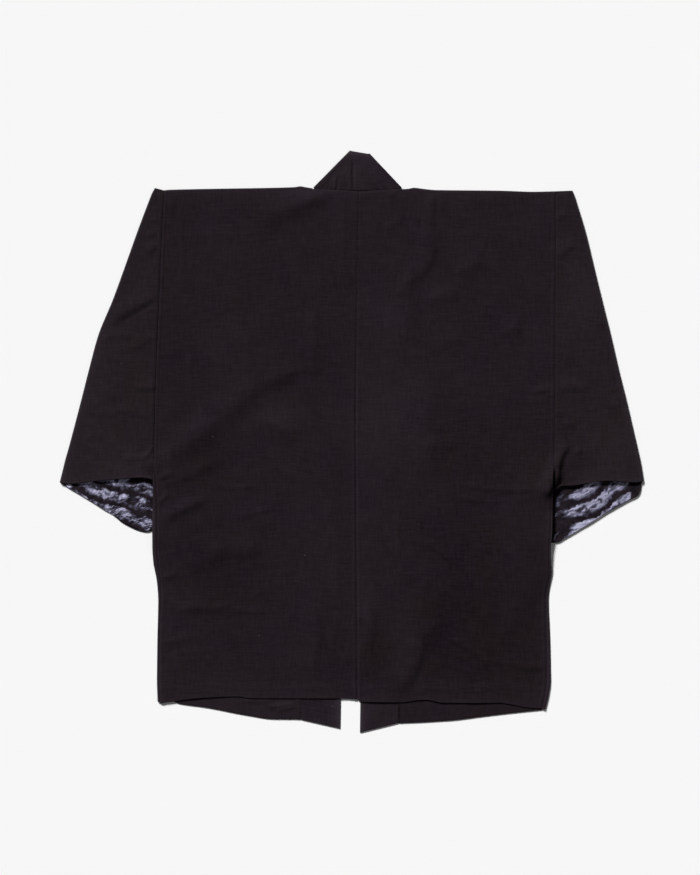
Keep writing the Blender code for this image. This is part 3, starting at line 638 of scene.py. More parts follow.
def feed(socket, value):
    """Sets an input, or links it where the value comes out of another node."""
    if isinstance(value, Value):
        socket.id_data.links.new(value.socket, socket)
    elif socket.type == "RGBA":
        socket.default_value = (*value, 1.0)
    else:
        socket.default_value = value


def add_node(tree, kind, inputs=None, **settings):
    """A new shader node with its settings made and its inputs fed."""
    node = tree.nodes.new("ShaderNode" + kind)
    for name, value in settings.items():
        setattr(node, name, value)
    for name, value in (inputs or {}).items():
        feed(node.inputs[name], value)
    return node


class Value:
    """What comes out of a shader node, to reckon with like a number."""

    def __init__(self, node, name=0):
        self.tree = node.id_data
        self.socket = node.outputs[name]

    def calc(self, operation, *others, clamp=False):
        """The result of a Math node that it goes into first."""
        return Value(add_node(self.tree, "Math", dict(enumerate((self, *others))),
                              operation=operation, use_clamp=clamp))

    def __add__(self, other):
        return self.calc("ADD", other)

    def __sub__(self, other):
        return self.calc("SUBTRACT", other)

    def __mul__(self, other):
        return self.calc("MULTIPLY", other)

    def __truediv__(self, other):
        return self.calc("DIVIDE", other)

    def rest(self):
        """What it lacks to 1."""
        return self.calc("MULTIPLY_ADD", -1.0, 1.0)

    def between(self, low, high):
        """0 below low, 1 above high, and a soft step between them."""
        limits = {"Value": self, "From Min": low, "From Max": high}
        return Value(add_node(self.tree, "MapRange", limits, interpolation_type="SMOOTHSTEP"))


def place_on_cut(tree, across=1.0, along=1.0):
    """Where a point lies on the flat cut, stretched by a number each way."""
    cut = Value(add_node(tree, "UVMap", uv_map="cut"), "UV")
    return Value(add_node(tree, "Mapping", {"Vector": cut, "Scale": (across, along, 1.0)}))


def mottle(where, size, detail=1.0, roughness=0.5, shift=0.0):
    """Noise between 0 and 1 at a place."""
    if shift:
        where = Value(add_node(where.tree, "VectorMath", {0: where, 1: (shift, shift * 1.7, shift * 0.6)}))
    return Value(add_node(where.tree, "TexNoise", {
        "Vector": where, "Scale": size, "Detail": detail, "Roughness": roughness}))


def tone_and_shade_mark(tree):
    return Value(add_node(tree, "Attribute", attribute_name="worn"), "Fac")


def dye(part, first, second):
    """A colour between two."""
    return Value(add_node(part.tree, "Mix", {0: part, 6: first, 7: second}, data_type="RGBA"), 2)


def shader_group(name, given, make):
    """A node group: `given` names its inputs with their values, and `make` returns its named outputs."""
    tree = bpy.data.node_groups.new(name, "ShaderNodeTree")
    for label, usual in given.items():
        socket = tree.interface.new_socket(label, in_out="INPUT", socket_type="NodeSocketFloat")
        socket.default_value = usual
    start = tree.nodes.new("NodeGroupInput")
    made = make(tree, *[Value(start, label) for label in given])
    for label in made:
        tree.interface.new_socket(label, in_out="OUTPUT", socket_type="NodeSocketFloat")
    end = tree.nodes.new("NodeGroupOutput")
    for label, value in made.items():
        feed(end.inputs[label], value)
    return tree


def plain_weave(tree):
    """Threads of a plain weave: their height, and a grain of thicker and thinner ones."""
    threads = add_node(tree, "SeparateXYZ", {0: place_on_cut(tree, THREADS_A_METRE, THREADS_A_METRE)})
    warp, weft = [(Value(threads, axis) * math.pi).calc("SINE") for axis in (0, 1)]
    fine = mottle(place_on_cut(tree, 640.0, 70.0), 1.0, 2.0, 0.6) + mottle(
        place_on_cut(tree, 60.0, 560.0), 1.0, 2.0, 0.6, 7.0)
    coarse = mottle(place_on_cut(tree, 300.0, 34.0), 1.0, shift=3.0) + mottle(
        place_on_cut(tree, 26.0, 260.0), 1.0, shift=5.0)
    grain = fine * 0.32 + coarse * 0.18
    return {"Height": warp * weft * 0.22 + grain * 1.6, "Grain": grain}


def fading(tree, patches, worn):
    """How pale black cotton is: in soft patches, where folds and edges wear, and darker in places as painted
    shade.
    """
    place = place_on_cut(tree)
    patchy = mottle(place, 9.0, 3.0, 0.6, 2.0) * 0.65 + mottle(place, 42.0, 2.0, 0.6, 4.0) * 0.35
    # the mark makes the cotton paler where folds and edges wear, and darker where it is negative, as painted
    # shade
    rubbed_and_shaded = tone_and_shade_mark(tree) * worn * (mottle(place, 90.0, 2.0, 0.6, 9.0) * 0.8 + 0.6)
    return {"Faded": (patchy - 0.5) * patches + rubbed_and_shaded,
            "Tint": mottle(place, 16.0, 2.0, 0.5, 12.0).between(0.35, 0.65)}


def lint(tree, spacing):
    """Specks of pale lint, a few to a hand's breadth."""
    cells = add_node(tree, "TexVoronoi", {"Vector": place_on_cut(tree, 1.0, 1.3), "Scale": spacing})
    chosen = Value(add_node(tree, "SeparateColor", {0: Value(cells, "Color")})).calc("GREATER_THAN", 0.90)
    return {"Lint": Value(cells, "Distance").calc("LESS_THAN", 0.024) * chosen}


WEAVE = shader_group("plain_weave", {}, plain_weave)
FADING_AND_SHADE = shader_group("fading", {"Patches": 0.5, "Worn": 0.5}, fading)
LINT = shader_group("lint", {"Spacing": 30.0}, lint)


def cloth_material(name, bump_strength, colour_and_relief):
    """A matt cloth from what a function returns: its colour, and what it adds to the weave's height."""
    material = bpy.data.materials.new(name)
    material.use_nodes = True
    tree = material.node_tree
    shader = tree.nodes["Principled BSDF"]
    weave = add_node(tree, "Group", node_tree=WEAVE)
    grain = Value(weave, "Grain")
    colour, relief = colour_and_relief(tree, grain)
    bump = add_node(tree, "Bump", {
        "Strength": bump_strength, "Distance": 0.0004, "Height": Value(weave, "Height") + relief})
    feed(shader.inputs["Specular IOR Level"], 0.05)
    feed(shader.inputs["Base Color"], colour)
    feed(shader.inputs["Roughness"], grain * -0.2 + 0.95)
    feed(shader.inputs["Normal"], Value(bump))
    return material


def black_cotton(name, deep, brown, pale):
    """Dyed cotton between a deep black, a browner black and the grey that it fades to."""
    def colour_and_relief(tree, grain):
        faded = add_node(tree, "Group", {"Patches": 0.35, "Worn": 1.0}, node_tree=FADING_AND_SHADE)
        specks = add_node(tree, "Group", {"Spacing": 28.0}, node_tree=LINT)
        ground = dye(Value(faded, "Tint"), deep, brown)
        paler = (Value(faded, "Faded") + (grain - 0.5) * 1.6).calc("ADD", 0.32, clamp=True)
        return dye(Value(specks, "Lint") * 0.2, dye(paler, ground, pale), (0.30, 0.28, 0.28)), 0.0

    return cloth_material(name, 0.28, colour_and_relief)


def sew_in(piece, node):
    """Hangs a piece under the root and hides the CAD part that it stands for."""
    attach(piece, "root")
    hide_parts(node)


BODY_CLOTH = black_cotton("body_cotton", (0.0076, 0.0043, 0.0072), (0.0081, 0.0050, 0.0059),
                          (0.025, 0.0182, 0.0236))
for half in (LEFT, RIGHT):
    body = body_piece(half, BODY_CLOTH)
    sew_in(body, "body_" + half.name)


# ---- sleeves ---------------------------------------------------------------------------------------------
# Each sleeve is one piece of the same cotton, folded along its outer edge and sewn to the body at the
# armhole. Its cuff hangs open: the back half stands off the front half, and the hem is turned in.

SLEEVE_MIDDLE = (FRONT_LEVEL + SLEEVE_BACK_LEVEL) / 2
FOLD_ROOM = (SLEEVE_BACK_LEVEL - FRONT_LEVEL) / 2 + 0.5    # from a half's first points to the outline
SHOULDER_TUCK = 2.2    # how far the sleeve's pressed top corner reaches in between the body's two layers
EDGE_PART = 0.86       # the part of a cuff's width that its shown hem takes
SHUT_FROM = 0.965      # the part of the width from which the inner edge is closed
SLEEVE_WIDTH = 150.0
FOLD_EASE = 14.0       # how far in from the outer fold the cloth is held by it
CUFF_TURN = LAYER / 2  # radius of the cuff's turned hem
CUFF_RUN = 0.5         # and how far it runs back up inside
CUFF_INSET = 0.045     # the lining's inset at the cuff
LINING_SEAM_ROOM = 1.5
HEM_RIDE = 0.88        # the lining rides this much higher over the turned hem

# A sleeve's rows run from the folded outer edge to the inner edge, which is the armhole down to the underarm
# and below it the sleeve's own seam. pressed says how far its halves are pressed together, open how far the
# cuff's mouth reaches in, shut how far the inner edge is closed, and inset how far the lining keeps in from
# that edge, as a part of the width. A cuff's lines say how far its back half stands off its front half, and
# how far the front half's lining stops short of the hem, at parts of the width.
ROW_COLUMNS = "inner_y outer_x outer_y pressed open shut inset"
LINE_COLUMNS = "part lift short"
LEFT_ROWS = table(
    ROW_COLUMNS,
    (389.6, -307.2, 394.4, 1, 0, 0, 0), (374, -312.4, 381, 0, 0, 0, 0), (319.2, -332.2, 328.5, 0, 0, 0, 0),
    (258.8, -354.3, 266.5, 0, 0, 0, 0), (212.3, -371.3, 220, 0, 0, 0, 0),
    (159.6, -393.5, 165.8, 0, 0, 0, 0), (108.4, -408.3, 111.5, 0, 0, 0, 0), (63.5, -420.1, 65, 0, 0, 0, 0),
    (18.5, -432.2, 18.5, 0, 0.1, 0, 0), (-8, -439.2, -7.8, 0, 0.22, 0, 0.02),
    (-31, -445.4, -29.5, 0, 0.35, 1, 0.045),
)
RIGHT_ROWS = table(
    ROW_COLUMNS,
    (388.7, 344, 389.9, 1, 0, 0, 0), (374, 347.4, 377, 0, 0, 0, 0), (319.2, 362, 328.5, 0, 0, 0, 0),
    (258.8, 377, 266.5, 0, 0, 0, 0), (212.3, 388.4, 220, 0, 0, 0, 0), (159.6, 401.9, 165.8, 0, 0, 0, 0),
    (108.4, 414.4, 111.5, 0, 0, 0, 0), (63.5, 426.1, 65, 0, 0, 0, 0), (18.5, 436.8, 18.5, 0, 0.1, 0, 0),
    (-14, 443.7, -10.9, 0, 0.22, 0, 0.02), (-46, 448.5, -32.6, 0, 0.35, 1, 0.045),
)
LEFT_BACK_CUFF = (
    (-453.6, -63.4), (-438, -65.2), (-398.7, -61), (-360.9, -57.7), (-322.2, -55.3), (-307.8, -58.7),
)
LEFT_FRONT_CUFF = (
    (-453.6, -64.2), (-424.8, -80.4), (-398.7, -96.3), (-385, -105.2), (-372.5, -112), (-357.4, -124.8),
    (-347.8, -130.4), (-328.4, -138.5), (-319.1, -140), (-310.1, -137.6),
)
LEFT_CUFF_LINES = table(
    LINE_COLUMNS,
    (0, 0, 1.9), (0.1, 0.8, 0.5), (0.4, 2.4, 0.4), (0.52, 3.2, 0.5), (0.58, 3.8, 2.2), (0.7, 4.8, 3),
    (0.79, 5.6, 1.4), (0.86, 4.2, 1.6), (1, 0, 1.9),
)
RIGHT_BACK_CUFF = (
    (452.8, -60.4), (438.9, -63), (392.4, -60.5), (367, -63.6), (342.8, -67.7), (325.7, -68.3), (309, -85),
)
RIGHT_FRONT_CUFF = (
    (452.8, -61.3), (444.2, -83.2), (431.6, -90), (389.2, -114), (365.2, -129), (331, -149.5),
    (318.5, -156.4), (309.9, -157),
)
RIGHT_CUFF_LINES = table(
    LINE_COLUMNS,
    (0, 0, 1.9), (0.1, 2.2, 0.6), (0.25, 3.8, 0.6), (0.45, 3.6, 0.5), (0.65, 2.4, 0.5), (0.86, 2.3, 1.2),
    (1, 0, 1.9),
)
LEFT_SLEEVE, RIGHT_SLEEVE = table(
    "rows back_cuff front_cuff lines corner seam",
    (LEFT_ROWS, LEFT_BACK_CUFF, LEFT_FRONT_CUFF, LEFT_CUFF_LINES, (-274.1, -114.8), 0.4),
    (RIGHT_ROWS, RIGHT_BACK_CUFF, RIGHT_FRONT_CUFF, RIGHT_CUFF_LINES, (273.0, -136.5), 0.1),
)


def along(path, part):
    """Points a given part of the way along a path, on a smooth line."""
    path = np.array(path)
    lengths = np.concatenate(([0.0], np.cumsum(np.linalg.norm(np.diff(path, axis=0), axis=1))))
    return [curve(lengths, path[:, axis], part * lengths[-1]) for axis in (0, 1)]


def sleeve_spots(half, sleeve, lining):
    """Rows of points from shoulder to cuff, with each one's part of the width, its turn round the outer fold,
    the way in from that fold and its place on it. Columns run up the back half, round the fold and back.
    """
    rows = sleeve.rows[1:] if lining else sleeve.rows
    last = len(rows) - 1
    back_level, front_level, hem_room, coarse = SLEEVE_BACK_LEVEL, FRONT_LEVEL, CUFF_TURN + WALL / 2, 2.5
    if lining:
        back_level, front_level = SLEEVE_BACK_LEVEL - LAYER, FRONT_LEVEL + LAYER
        hem_room, coarse = hem_room + CUFF_RUN + 0.3, 3.4
    marks = [(row.outer_x, row.outer_y) for row in rows] + [along(sleeve.back_cuff, 0.0)]
    reach = np.concatenate(([0.0], np.cumsum(np.linalg.norm(np.diff(marks, axis=0), axis=1))))
    step = np.interp(spread(reach[-1], 1.0, coarse) * reach[-1], reach, np.arange(len(reach)))[:, None]
    upper, way = np.minimum(step, last), np.clip(step - last, 0.0, 1.0)
    inner_y, outer_x, outer_y, pressed, opening, shut, inset = [
        curve(np.arange(len(rows)), [row[column] for row in rows], upper) for column in range(7)]
    opening, shut, inset = mix(opening, 1.0, way), mix(shut, 1.0, way), mix(inset, CUFF_INSET, way)
    tuck = smooth(2.0 * pressed - 1.0) * SHOULDER_TUCK
    outer = outer_x, outer_y
    inner = side_x(half, inner_y) + half.sign * (sleeve.seam - tuck), inner_y
    parts = spread(SLEEVE_WIDTH, 0.7, coarse)[None, :]

    def width_point(part, cuff):
        """A point on the width, and how far it is from the cuff's hem."""
        front = cuff is sleeve.front_cuff
        past = np.maximum(part - EDGE_PART, 0.0) / (1.0 - EDGE_PART)
        hem = [mix(place, corner, past)
               for place, corner in zip(along(cuff, np.minimum(part / EDGE_PART, 1.0)), sleeve.corner)]
        base = [mix(outer[axis], inner[axis], part) for axis in (0, 1)]
        base[0] = base[0] + stagger(half, inner_y) * part * front
        drop = np.hypot(hem[0] - base[0], hem[1] - base[1])[-1]
        room = read(sleeve.lines, "part", part, "short") if lining and front else hem_room
        kept = way * np.maximum(1.0 - room / np.maximum(drop, room + 0.5), 0.0)
        return mix(base[0], hem[0], kept), mix(base[1], hem[1], kept), drop * (1.0 - kept) + (1.0 - way) * 9.0

    none = np.zeros_like(step)
    ends = {cuff: [width_point(none + part, cuff)[:2] for part in (0.0, 0.3, 1.0)]
            for cuff in (sleeve.back_cuff, sleeve.front_cuff)}
    first = ends[sleeve.back_cuff][0]
    aim = [(ends[sleeve.back_cuff][1][axis] + ends[sleeve.front_cuff][1][axis]) / 2 - first[axis]
           for axis in (0, 1)]
    inwards = [part / np.hypot(*aim) for part in aim]

    def layer(cuff, level):
        """One half of the sleeve or lining, from the outer fold to the inner edge."""
        start, _, end = ends[cuff]
        width = np.hypot(end[0] - start[0], end[1] - start[1])
        room = FOLD_ROOM / width
        part = mix(room, 1.0 - inset - LINING_SEAM_ROOM / width if lining else 1.0, parts)
        x, y, to_hem = width_point(part, cuff)
        first_x, first_y, _ = width_point(room, cuff)
        from_fold = (part - room) * width
        held = smooth(from_fold / FOLD_EASE)
        x = x + (start[0] + inwards[0] * FOLD_ROOM - first_x) * (1.0 - held)
        y = y + (start[1] + inwards[1] * FOLD_ROOM - first_y) * (1.0 - held)
        closed = np.maximum(pressed, shut * smooth((part - SHUT_FROM) / (1.0 - SHUT_FROM)))
        z = mix(level, SLEEVE_MIDDLE + math.copysign(LAYER / 2, level - SLEEVE_MIDDLE), closed)
        if level > SLEEVE_MIDDLE:
            under = below(y, half.underarm, 18.0)
            outside = (x - side_x(half, y)) * half.sign
            hold = held * mix(1.0, smooth((outside - 0.5) / 5.0), under) * below(y, fold_y(x), FOLD_REACH)
            lift = opening * read(sleeve.lines, "part", part, "lift") * (1.0 - closed)
            seam = (1.0 - part) * width
            rise = np.maximum(body_levels(half, side_x(half, y), y)[0] - SLEEVE_BACK_LEVEL, 0.0)
            rise = rise * np.exp(-seam / 9.0) * smooth((y - inner_y[-1] + 18.0) / 18.0)
            z = z + lift + rise * (1.0 - pressed) + np.maximum(folds(x, y), -0.45) * hold
            if not lining:
                sewn = seam_edge(seam, SEAM_DEPTH[half.name] + 0.1, 0.2) + pucker(seam, y, 13)
                z = z + sewn * (1.0 - under) * (1.0 - pressed)
        elif lining:
            sag = np.maximum(0.35 * swell(x, y, 26.0, 31) + 0.25 * swell(x, y, 10.0, 32), 0.0)
            z = z + sag * smooth(from_fold / 10.0) * (1.0 - closed)
            z = z + HEM_RIDE * (1.0 - smooth((to_hem - 2.4) / 3.0)) * smooth(part / 0.06)
        return stack(x, y, z, part)

    back, front = layer(sleeve.back_cuff, back_level), layer(sleeve.front_cuff, front_level)
    turn = half_turn(ROUND_STEPS)[None, :]
    bend = mix((back_level - front_level) / 2, LAYER / 2, pressed)
    out_x, out_y = [first[axis] + inwards[axis] * (FOLD_ROOM - bend * np.sin(turn)) for axis in (0, 1)]
    fold = stack(out_x, out_y, SLEEVE_MIDDLE + bend * np.cos(turn), 0.0 * out_x)
    spots = np.concatenate((back[:, ::-1], fold, front), axis=1)
    around = np.concatenate((np.zeros(back.shape[1]), turn[0], np.full(front.shape[1], math.pi)))
    way_in = np.concatenate(inwards, axis=1)[:, None, :]
    return spots[:, :, :3], spots[:, :, 3], around, way_in, np.concatenate(outer, axis=1)[:, None, :]


def cut_of(sleeve, spots, around, fold_line):
    """Places on the flat cut: the back half as it lies, and the front half turned out over the outer fold."""
    axis = np.subtract(sleeve.rows[-1][1:3], sleeve.rows[0][1:3])
    axis = axis / np.linalg.norm(axis)
    offset = spots[:, :, :2] - fold_line
    turned = 2.0 * (offset @ axis)[:, :, None] * axis - offset
    return fold_line + mix(offset, turned, ((1.0 - np.cos(around)) / 2)[None, :, None])


def sleeve_piece(half, sleeve, material):
    spots, part, around, way_in, fold_line = sleeve_spots(half, sleeve, False)
    # the hem: out round a half turn, and a little way back up inside
    out = (spots[-1] - spots[-3]) * [1.0, 1.0, 0.0]
    out = out / np.maximum(np.linalg.norm(out, axis=1, keepdims=True), 1e-6)
    inside = stack(way_in[-1, :, 0] * np.sin(around), way_in[-1, :, 1] * np.sin(around), -np.cos(around))
    hem = [spots[-1] + (out * math.sin(turn) + inside * (1.0 - math.cos(turn))) * CUFF_TURN
           for turn in np.linspace(0.0, math.pi, TURN_STEPS + 2)[1:]]
    hem.append(hem[-1] - out * CUFF_RUN)
    spots = np.concatenate((spots, hem))

    def lengthened(rows):
        return np.concatenate((rows, np.repeat(rows[-1:], len(hem), axis=0)))

    cut = cut_of(sleeve, spots, around, lengthened(fold_line))
    from_hem = np.arange(len(spots))[:, None] - (len(spots) - len(hem))
    worn = rim(lengthened(part) * SLEEVE_WIDTH) + 0.3 * np.exp(-abs(from_hem) / 3.0)
    # the back half's patches include painted shade, black in the right underarm's fold
    worn = worn + fade_and_shade_patches(spots[:, :, 0], spots[:, :, 1]) * (around < 0.1)
    return cloth_piece("sleeve_cloth_" + half.name, spots, cut, worn, material)


SLEEVE_CLOTH = black_cotton("sleeve_cotton", (0.0082, 0.0048, 0.0078), (0.0088, 0.0056, 0.0064),
                            (0.027, 0.0202, 0.0250))
for half, sleeve in ((LEFT, LEFT_SLEEVE), (RIGHT, RIGHT_SLEEVE)):
    piece = sleeve_piece(half, sleeve, SLEEVE_CLOTH)
    sew_in(piece, "sleeve_" + half.name)


# ---- sleeve linings --------------------------------------------------------------------------------------
# Each lining is a thin cotton tube inside its sleeve, sewn to the turned hem of the cuff. It is dyed by
# shibori: pleated and bound, so that the dye leaves rows of pale marks between dark bands.

# How far in from the fold, and from the armhole, the lining was not bound, and is plain; and how much more
# broken its marks are within a reach of the armhole, and how full they are elsewhere. The plain strip and the
# broken marks by the armhole are painted shade, darker where the body's raised edge shades the lining
LEFT_BARE_AND_SHADE, RIGHT_BARE_AND_SHADE = table(
    "fold armhole broken reach kept",
    (2.0, 0.0, 0.12, 44.0, 1.0), (19.0, 3.0, 0.22, 34.0, 1.02),
)


def shibori(tree, turn, band, start, mark, streak_along, streak_across, teeth, feather, bend, bend_size,
            bend_start):
    """Soft pale marks in pairs of rows between dark bands, broken along the rows, streaked by the pleats."""
    def uneven(size, detail=1.0, shift=0.0):
        return mottle(place, size, detail, 0.5, shift) - 0.5

    def paired(first, second):
        return Value(add_node(tree, "CombineXYZ", {0: first, 1: second}))

    place = place_on_cut(tree)
    split = add_node(tree, "SeparateXYZ", {0: place})
    u, v = Value(split, 0), Value(split, 1)
    cosine, sine = turn.calc("COSINE"), turn.calc("SINE")
    across = u * cosine + v * sine
    bent = (u * bend_size + bend_start).calc("SINE") * bend
    height = v * cosine - u * sine + (uneven(30.0, shift=1.0) * 0.010 + bent)
    height = height + uneven(150.0, shift=6.0) * 0.0075
    turns = height / band + start
    phase = turns.calc("FRACT")
    # a band: dark for its first quarter, then two rows with a thin dark line between them
    bound = phase + uneven(90.0, 1.5, 3.0) * 0.50
    shut = phase.between(0.86, 1.0).rest()
    off_line = (bound - 0.62).calc("ABSOLUTE")
    # marks along the rows, of uneven lengths and with slanting ends
    slanted = height * 0.8 + across
    marks = mottle(paired(slanted / mark, turns * 2.8), 1.0, 1.5, 0.5, 4.0)
    # pleats: fine streaks, and here and there a comb of short teeth
    streaks = mottle(paired(across * streak_across, height * streak_along), 1.0) - 0.5
    cloudy = uneven(110.0, shift=8.0)
    combed = (slanted * 1500.0).calc("SINE") * mottle(place, 36.0, shift=14.0).between(0.50, 0.62) * teeth
    # the lining's mark thins the marks where it was not bound, and near the armhole as painted shade
    kept = marks + combed + (streaks + cloudy) * feather - tone_and_shade_mark(tree).rest()
    line = off_line.between(0.0, 0.12).rest() * cloudy.between(-0.12, 0.10).rest()
    core = bound.between(0.26, 0.52) * line.rest()
    pale = kept.between(0.38, 0.60) * shut * core
    pale = pale.calc("MULTIPLY", streaks * 2.2 + 0.66, clamp=True)
    blue = kept.between(0.27, 0.50) * bound.between(0.16, 0.40) * shut
    blue = blue.calc("MULTIPLY", cloudy * 2.2 + 0.62, clamp=True)
    return {"Pale": pale, "Blue": blue, "Height": pale + streaks * 0.6}


SHIBORI = shader_group("shibori", {
    "Turn": 0.0, "Band": 0.0256, "Start": 0.0, "Mark": 0.012, "Streak Along": 150.0, "Streak Across": 420.0,
    "Teeth": 0.1, "Feather": 0.2, "Bend": 0.005, "Bend Size": 58.0, "Bend Start": 0.0}, shibori)


def shibori_cotton(name, pattern):
    """Lining cotton whose dark ground turns to blue and then lavender white where the dye was kept out."""
    def colour_and_relief(tree, grain):
        dyed = add_node(tree, "Group", pattern, node_tree=SHIBORI)
        depth = mottle(place_on_cut(tree), 85.0, 2.0, 0.6, 21.0).between(0.30, 0.68)
        ground = dye(depth, (0.0060, 0.0040, 0.0062), (0.0170, 0.0120, 0.0160))
        ground = dye(Value(dyed, "Blue"), ground, (0.115, 0.112, 0.178))
        pale = Value(dyed, "Pale").calc("MULTIPLY", grain * 0.6 + 0.7, clamp=True)
        return dye(pale, ground, (0.46, 0.45, 0.61)), Value(dyed, "Height") * 1.2

    return cloth_material(name, 0.5, colour_and_relief)


def lining_piece(half, sleeve, bare_and_shade, material):
    """A lining, whose mark says where it was bound, and where near the armhole it is painted darker as shade.
    """
    spots, part, around, _, fold_line = sleeve_spots(half, sleeve, True)
    off_body = (spots[:, :, 0] - side_x(half, spots[:, :, 1])) * half.sign
    # by the armhole the lining is plain and its marks broken: painted shade, where the body's raised edge
    # shades it
    bound = smooth((part * SLEEVE_WIDTH - bare_and_shade.fold) / 9.0) * smooth((off_body - bare_and_shade.armhole) / 3.0 + 1.0)
    bound = bound * (bare_and_shade.kept - bare_and_shade.broken * (1.0 - smooth((off_body - bare_and_shade.reach) / 12.0 + 1.0)))
    cut = cut_of(sleeve, spots, around, fold_line)
    return cloth_piece("sleeve_lining_cloth_" + half.name, spots, cut, bound, material)


LEFT_SHIBORI = shibori_cotton("left_shibori", {
    "Turn": math.radians(-2.0), "Start": 0.27, "Mark": 0.0105, "Bend": 0.0133, "Bend Size": 32.0,
    "Bend Start": -1.18})
RIGHT_SHIBORI = shibori_cotton("right_shibori", {
    "Turn": math.radians(-1.7), "Start": 0.01, "Mark": 0.0230, "Streak Along": 300.0, "Streak Across": 44.0,
    "Teeth": 0.0, "Feather": 0.13, "Bend": 0.0051, "Bend Start": 1.41})
for half, sleeve, bare_and_shade, material in ((LEFT, LEFT_SLEEVE, LEFT_BARE_AND_SHADE, LEFT_SHIBORI),
                                     (RIGHT, RIGHT_SLEEVE, RIGHT_BARE_AND_SHADE, RIGHT_SHIBORI)):
    piece = lining_piece(half, sleeve, bare_and_shade, material)
    sew_in(piece, "sleeve_lining_" + half.name)


# ---- collar ----------------------------------------------------------------------------------------------
# One long band of the cotton, folded double, with its fold along the free edge. It runs up the left front,
# turns at a mitre onto the neck, turns again, and runs down the right front. Its raw edges are sewn in.

BAND_WIDTH = 58.0
LEG_LENGTH, NECK_LENGTH = 830.0, 100.0
BAND_HALF = 0.52       # from the middle of the band to the middle of each of its two layers
# Creases and seams across the neck's part of the band
COLLAR_CREASES = table(
    CREASE_COLUMNS,
    (1, 440.1, 1, 413.8, 1.2, 384.3, -1.3, 1.9, 1.9),
    (5.2, 433.9, 5.5, 412.2, 5.8, 389, 0.5, 1.8, 2.6),
    (16.7, 427.7, 17.3, 409.1, 17.9, 389, -0.4, 1.6, 1.6),
    (-35.4, 412.2, -36, 399.8, -36.3, 387.4, -0.8, 1.7, 1.7),
    (-30.1, 409.1, -30.5, 398.3, -30.3, 387.4, -0.7, 1.5, 1.5),
    (-27, 412.2, -27, 399.8, -27, 387.4, 0.8, 1.6, 2.6),
    (-22.7, 410.7, -22.7, 399.8, -23, 387.4, -0.8, 1.6, 1.6),
    (-10.6, 418.4, -10, 402.9, -9.7, 389, -0.4, 1.8, 1.8),
    (-43.2, 399.8, -44.7, 393.6, -46.3, 385.9, -0.5, 1.7, 1.7),
)


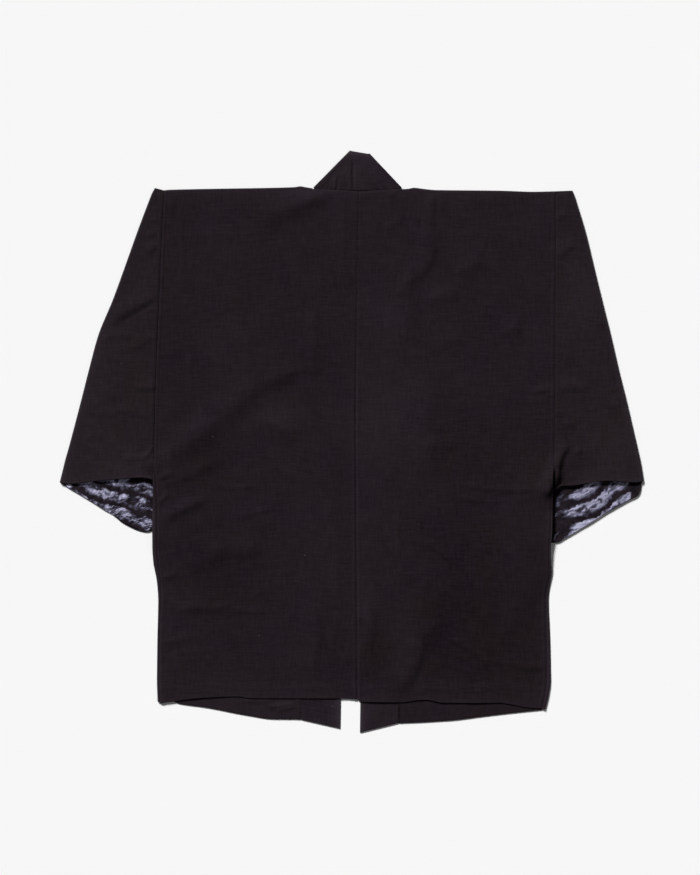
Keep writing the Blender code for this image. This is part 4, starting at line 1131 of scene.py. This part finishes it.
def collar_piece(material):
    """The doubled band: columns run over its upper layer, round the free edge and back over its lower one."""
    radius = (NECK_LEVEL - LEG_LEVEL) / 2
    part = spread(BAND_WIDTH, 0.7, 3.4)

    def across(end):
        return stack(mix(end.seam_x, end.free_x, part), mix(end.seam_y, end.free_y, part))

    def level(spots, height):
        return stack(spots[:, 0], spots[:, 1], height)

    def leg(hem, mitre, up):
        return level(mix(across(hem), across(mitre), up), LEG_LEVEL)

    def bend(mitre, sign, turn):
        fold = across(mitre)[-1] - across(mitre)[0]
        outwards = np.array([sign * abs(fold[1]), abs(fold[0])]) / np.hypot(*fold)
        height = LEG_LEVEL + radius * (1.0 - math.cos(turn))
        return level(across(mitre) + outwards * radius * math.sin(turn), height)

    def neck(way):
        spots = mix(across(LEFT_MITRE), across(RIGHT_MITRE), way)
        spots[:, 1] += (neck_seam_y(spots[:, 0]) - NECK_SEAM_Y) * (1.0 - part)
        return level(spots, NECK_LEVEL)

    ups = spread(LEG_LENGTH, 1.2, 7.0)
    turns = np.linspace(0.0, math.pi, ROUND_STEPS + 1)
    rows = [leg(LEFT_LEG_HEM, LEFT_MITRE, up) for up in ups[:-1]]
    rows += [bend(LEFT_MITRE, -1, turn) for turn in turns[:-1]]
    rows += [neck(way) for way in spread(NECK_LENGTH, 0.9, 1.05)[:-1]]
    rows += [bend(RIGHT_MITRE, 1, turn) for turn in turns[:0:-1]]
    rows += [leg(RIGHT_LEG_HEM, RIGHT_MITRE, up) for up in ups[::-1]]
    band = np.stack(rows)
    over_band = np.gradient(band, axis=1)
    square = np.cross(np.gradient(band, axis=0), over_band)
    square = square / np.linalg.norm(square, axis=-1, keepdims=True)
    outward = over_band[:, -1:] / np.linalg.norm(over_band[:, -1:], axis=-1, keepdims=True)
    turn = half_turn(TURN_STEPS + 1)[None, :, None]
    fold = band[:, -1:] + (square[:, -1:] * np.cos(turn) + outward * (np.sin(turn) - 1.0)) * BAND_HALF
    held = mix(band[:, :1], band, 1.0 - (BAND_HALF + WALL / 2) / BAND_WIDTH)
    spots = np.concatenate((held + square * BAND_HALF, fold, (held - square * BAND_HALF)[:, ::-1]), axis=1)
    x, y = spots[:, :, 0], spots[:, :, 1]
    on_neck = (band[:, :1, 2] > NECK_LEVEL - 0.05) & (spots[:, :, 2] > NECK_LEVEL)
    pleats = creased(COLLAR_CREASES, x, y)
    lift = 0.35 * swell(x, y, 22.0, 41) + 0.18 * swell(x, y, 9.0, 42) + 0.3 + pleats
    over = np.concatenate((part, np.ones(TURN_STEPS), part[::-1]))[None, :]
    spots[:, :, 2] += np.where(on_neck, lift, 0.0) * smooth(over / 0.04) * smooth((1.0 - over) / 0.1)
    steps = np.linalg.norm(np.diff(band[:, len(part) // 2], axis=0), axis=-1)
    length = np.concatenate(([0.0], np.cumsum(steps)))[:, None]
    width = np.concatenate((part, np.ones(TURN_STEPS), 2.0 - part[::-1]))[None, :] * BAND_WIDTH
    # the pleats' troughs are painted darker, as shade, and their ridges paler
    worn = rim(abs(width - BAND_WIDTH)) + np.where(on_neck, fade_and_shade_patches(x, y) + 0.22 * pleats, 0.0)
    return cloth_piece("collar_cloth", spots, stack(width, length), worn, material)


COLLAR_CLOTH = black_cotton("collar_cotton", (0.0080, 0.0046, 0.0082), (0.0088, 0.0054, 0.0074),
                            (0.030, 0.0220, 0.0285))
collar = collar_piece(COLLAR_CLOTH)
sew_in(collar, "collar")


# ---- the surface, the light and the camera ---------------------------------------------------------------
# A plain pale studio surface, a large soft light from the upper left with a weaker one opposite, and a
# camera straight above.

def soft_sun(name, towards, strength, spread_degrees):
    """A far, wide light shining from a direction."""
    lamp = bpy.data.lights.new(name, "SUN")
    lamp.energy = strength
    lamp.angle = math.radians(spread_degrees)
    show(name, lamp).rotation_euler = Vector(towards).to_track_quat("Z", "Y").to_euler()


paper = bpy.data.materials.new("pale_paper")
paper.use_nodes = True
for name, value in (("Base Color", (0.90, 0.90, 0.90)), ("Roughness", 0.95), ("Specular IOR Level", 0.1)):
    feed(paper.node_tree.nodes["Principled BSDF"].inputs[name], value)
surface_mesh = grid_mesh("studio_surface", 1, 1, size=30.0)
surface_mesh.materials.append(paper)
show("studio_surface", surface_mesh)

soft_sun("key_light", (-0.42, 0.70, 0.56), 5.0, 14.0)
soft_sun("fill_light", (0.6, -0.5, 1.2), 0.12, 60.0)
world = bpy.data.worlds.new("studio_air")
bpy.context.scene.world = world
world.use_nodes = True
feed(world.node_tree.nodes["Background"].inputs["Color"], (1.0, 1.0, 1.0))
feed(world.node_tree.nodes["Background"].inputs["Strength"], 0.10)

camera_data = bpy.data.cameras.new("camera_above")
camera_data.sensor_fit = "VERTICAL"
camera_data.sensor_height = 24.0
camera_data.lens = 24.0 * 3.0 / 1.35625
camera = show("camera_above", camera_data)
camera.location = (-0.0029, 0.0069, 3.006)
bpy.context.scene.camera = camera
bpy.context.scene.view_settings.view_transform = "Standard"
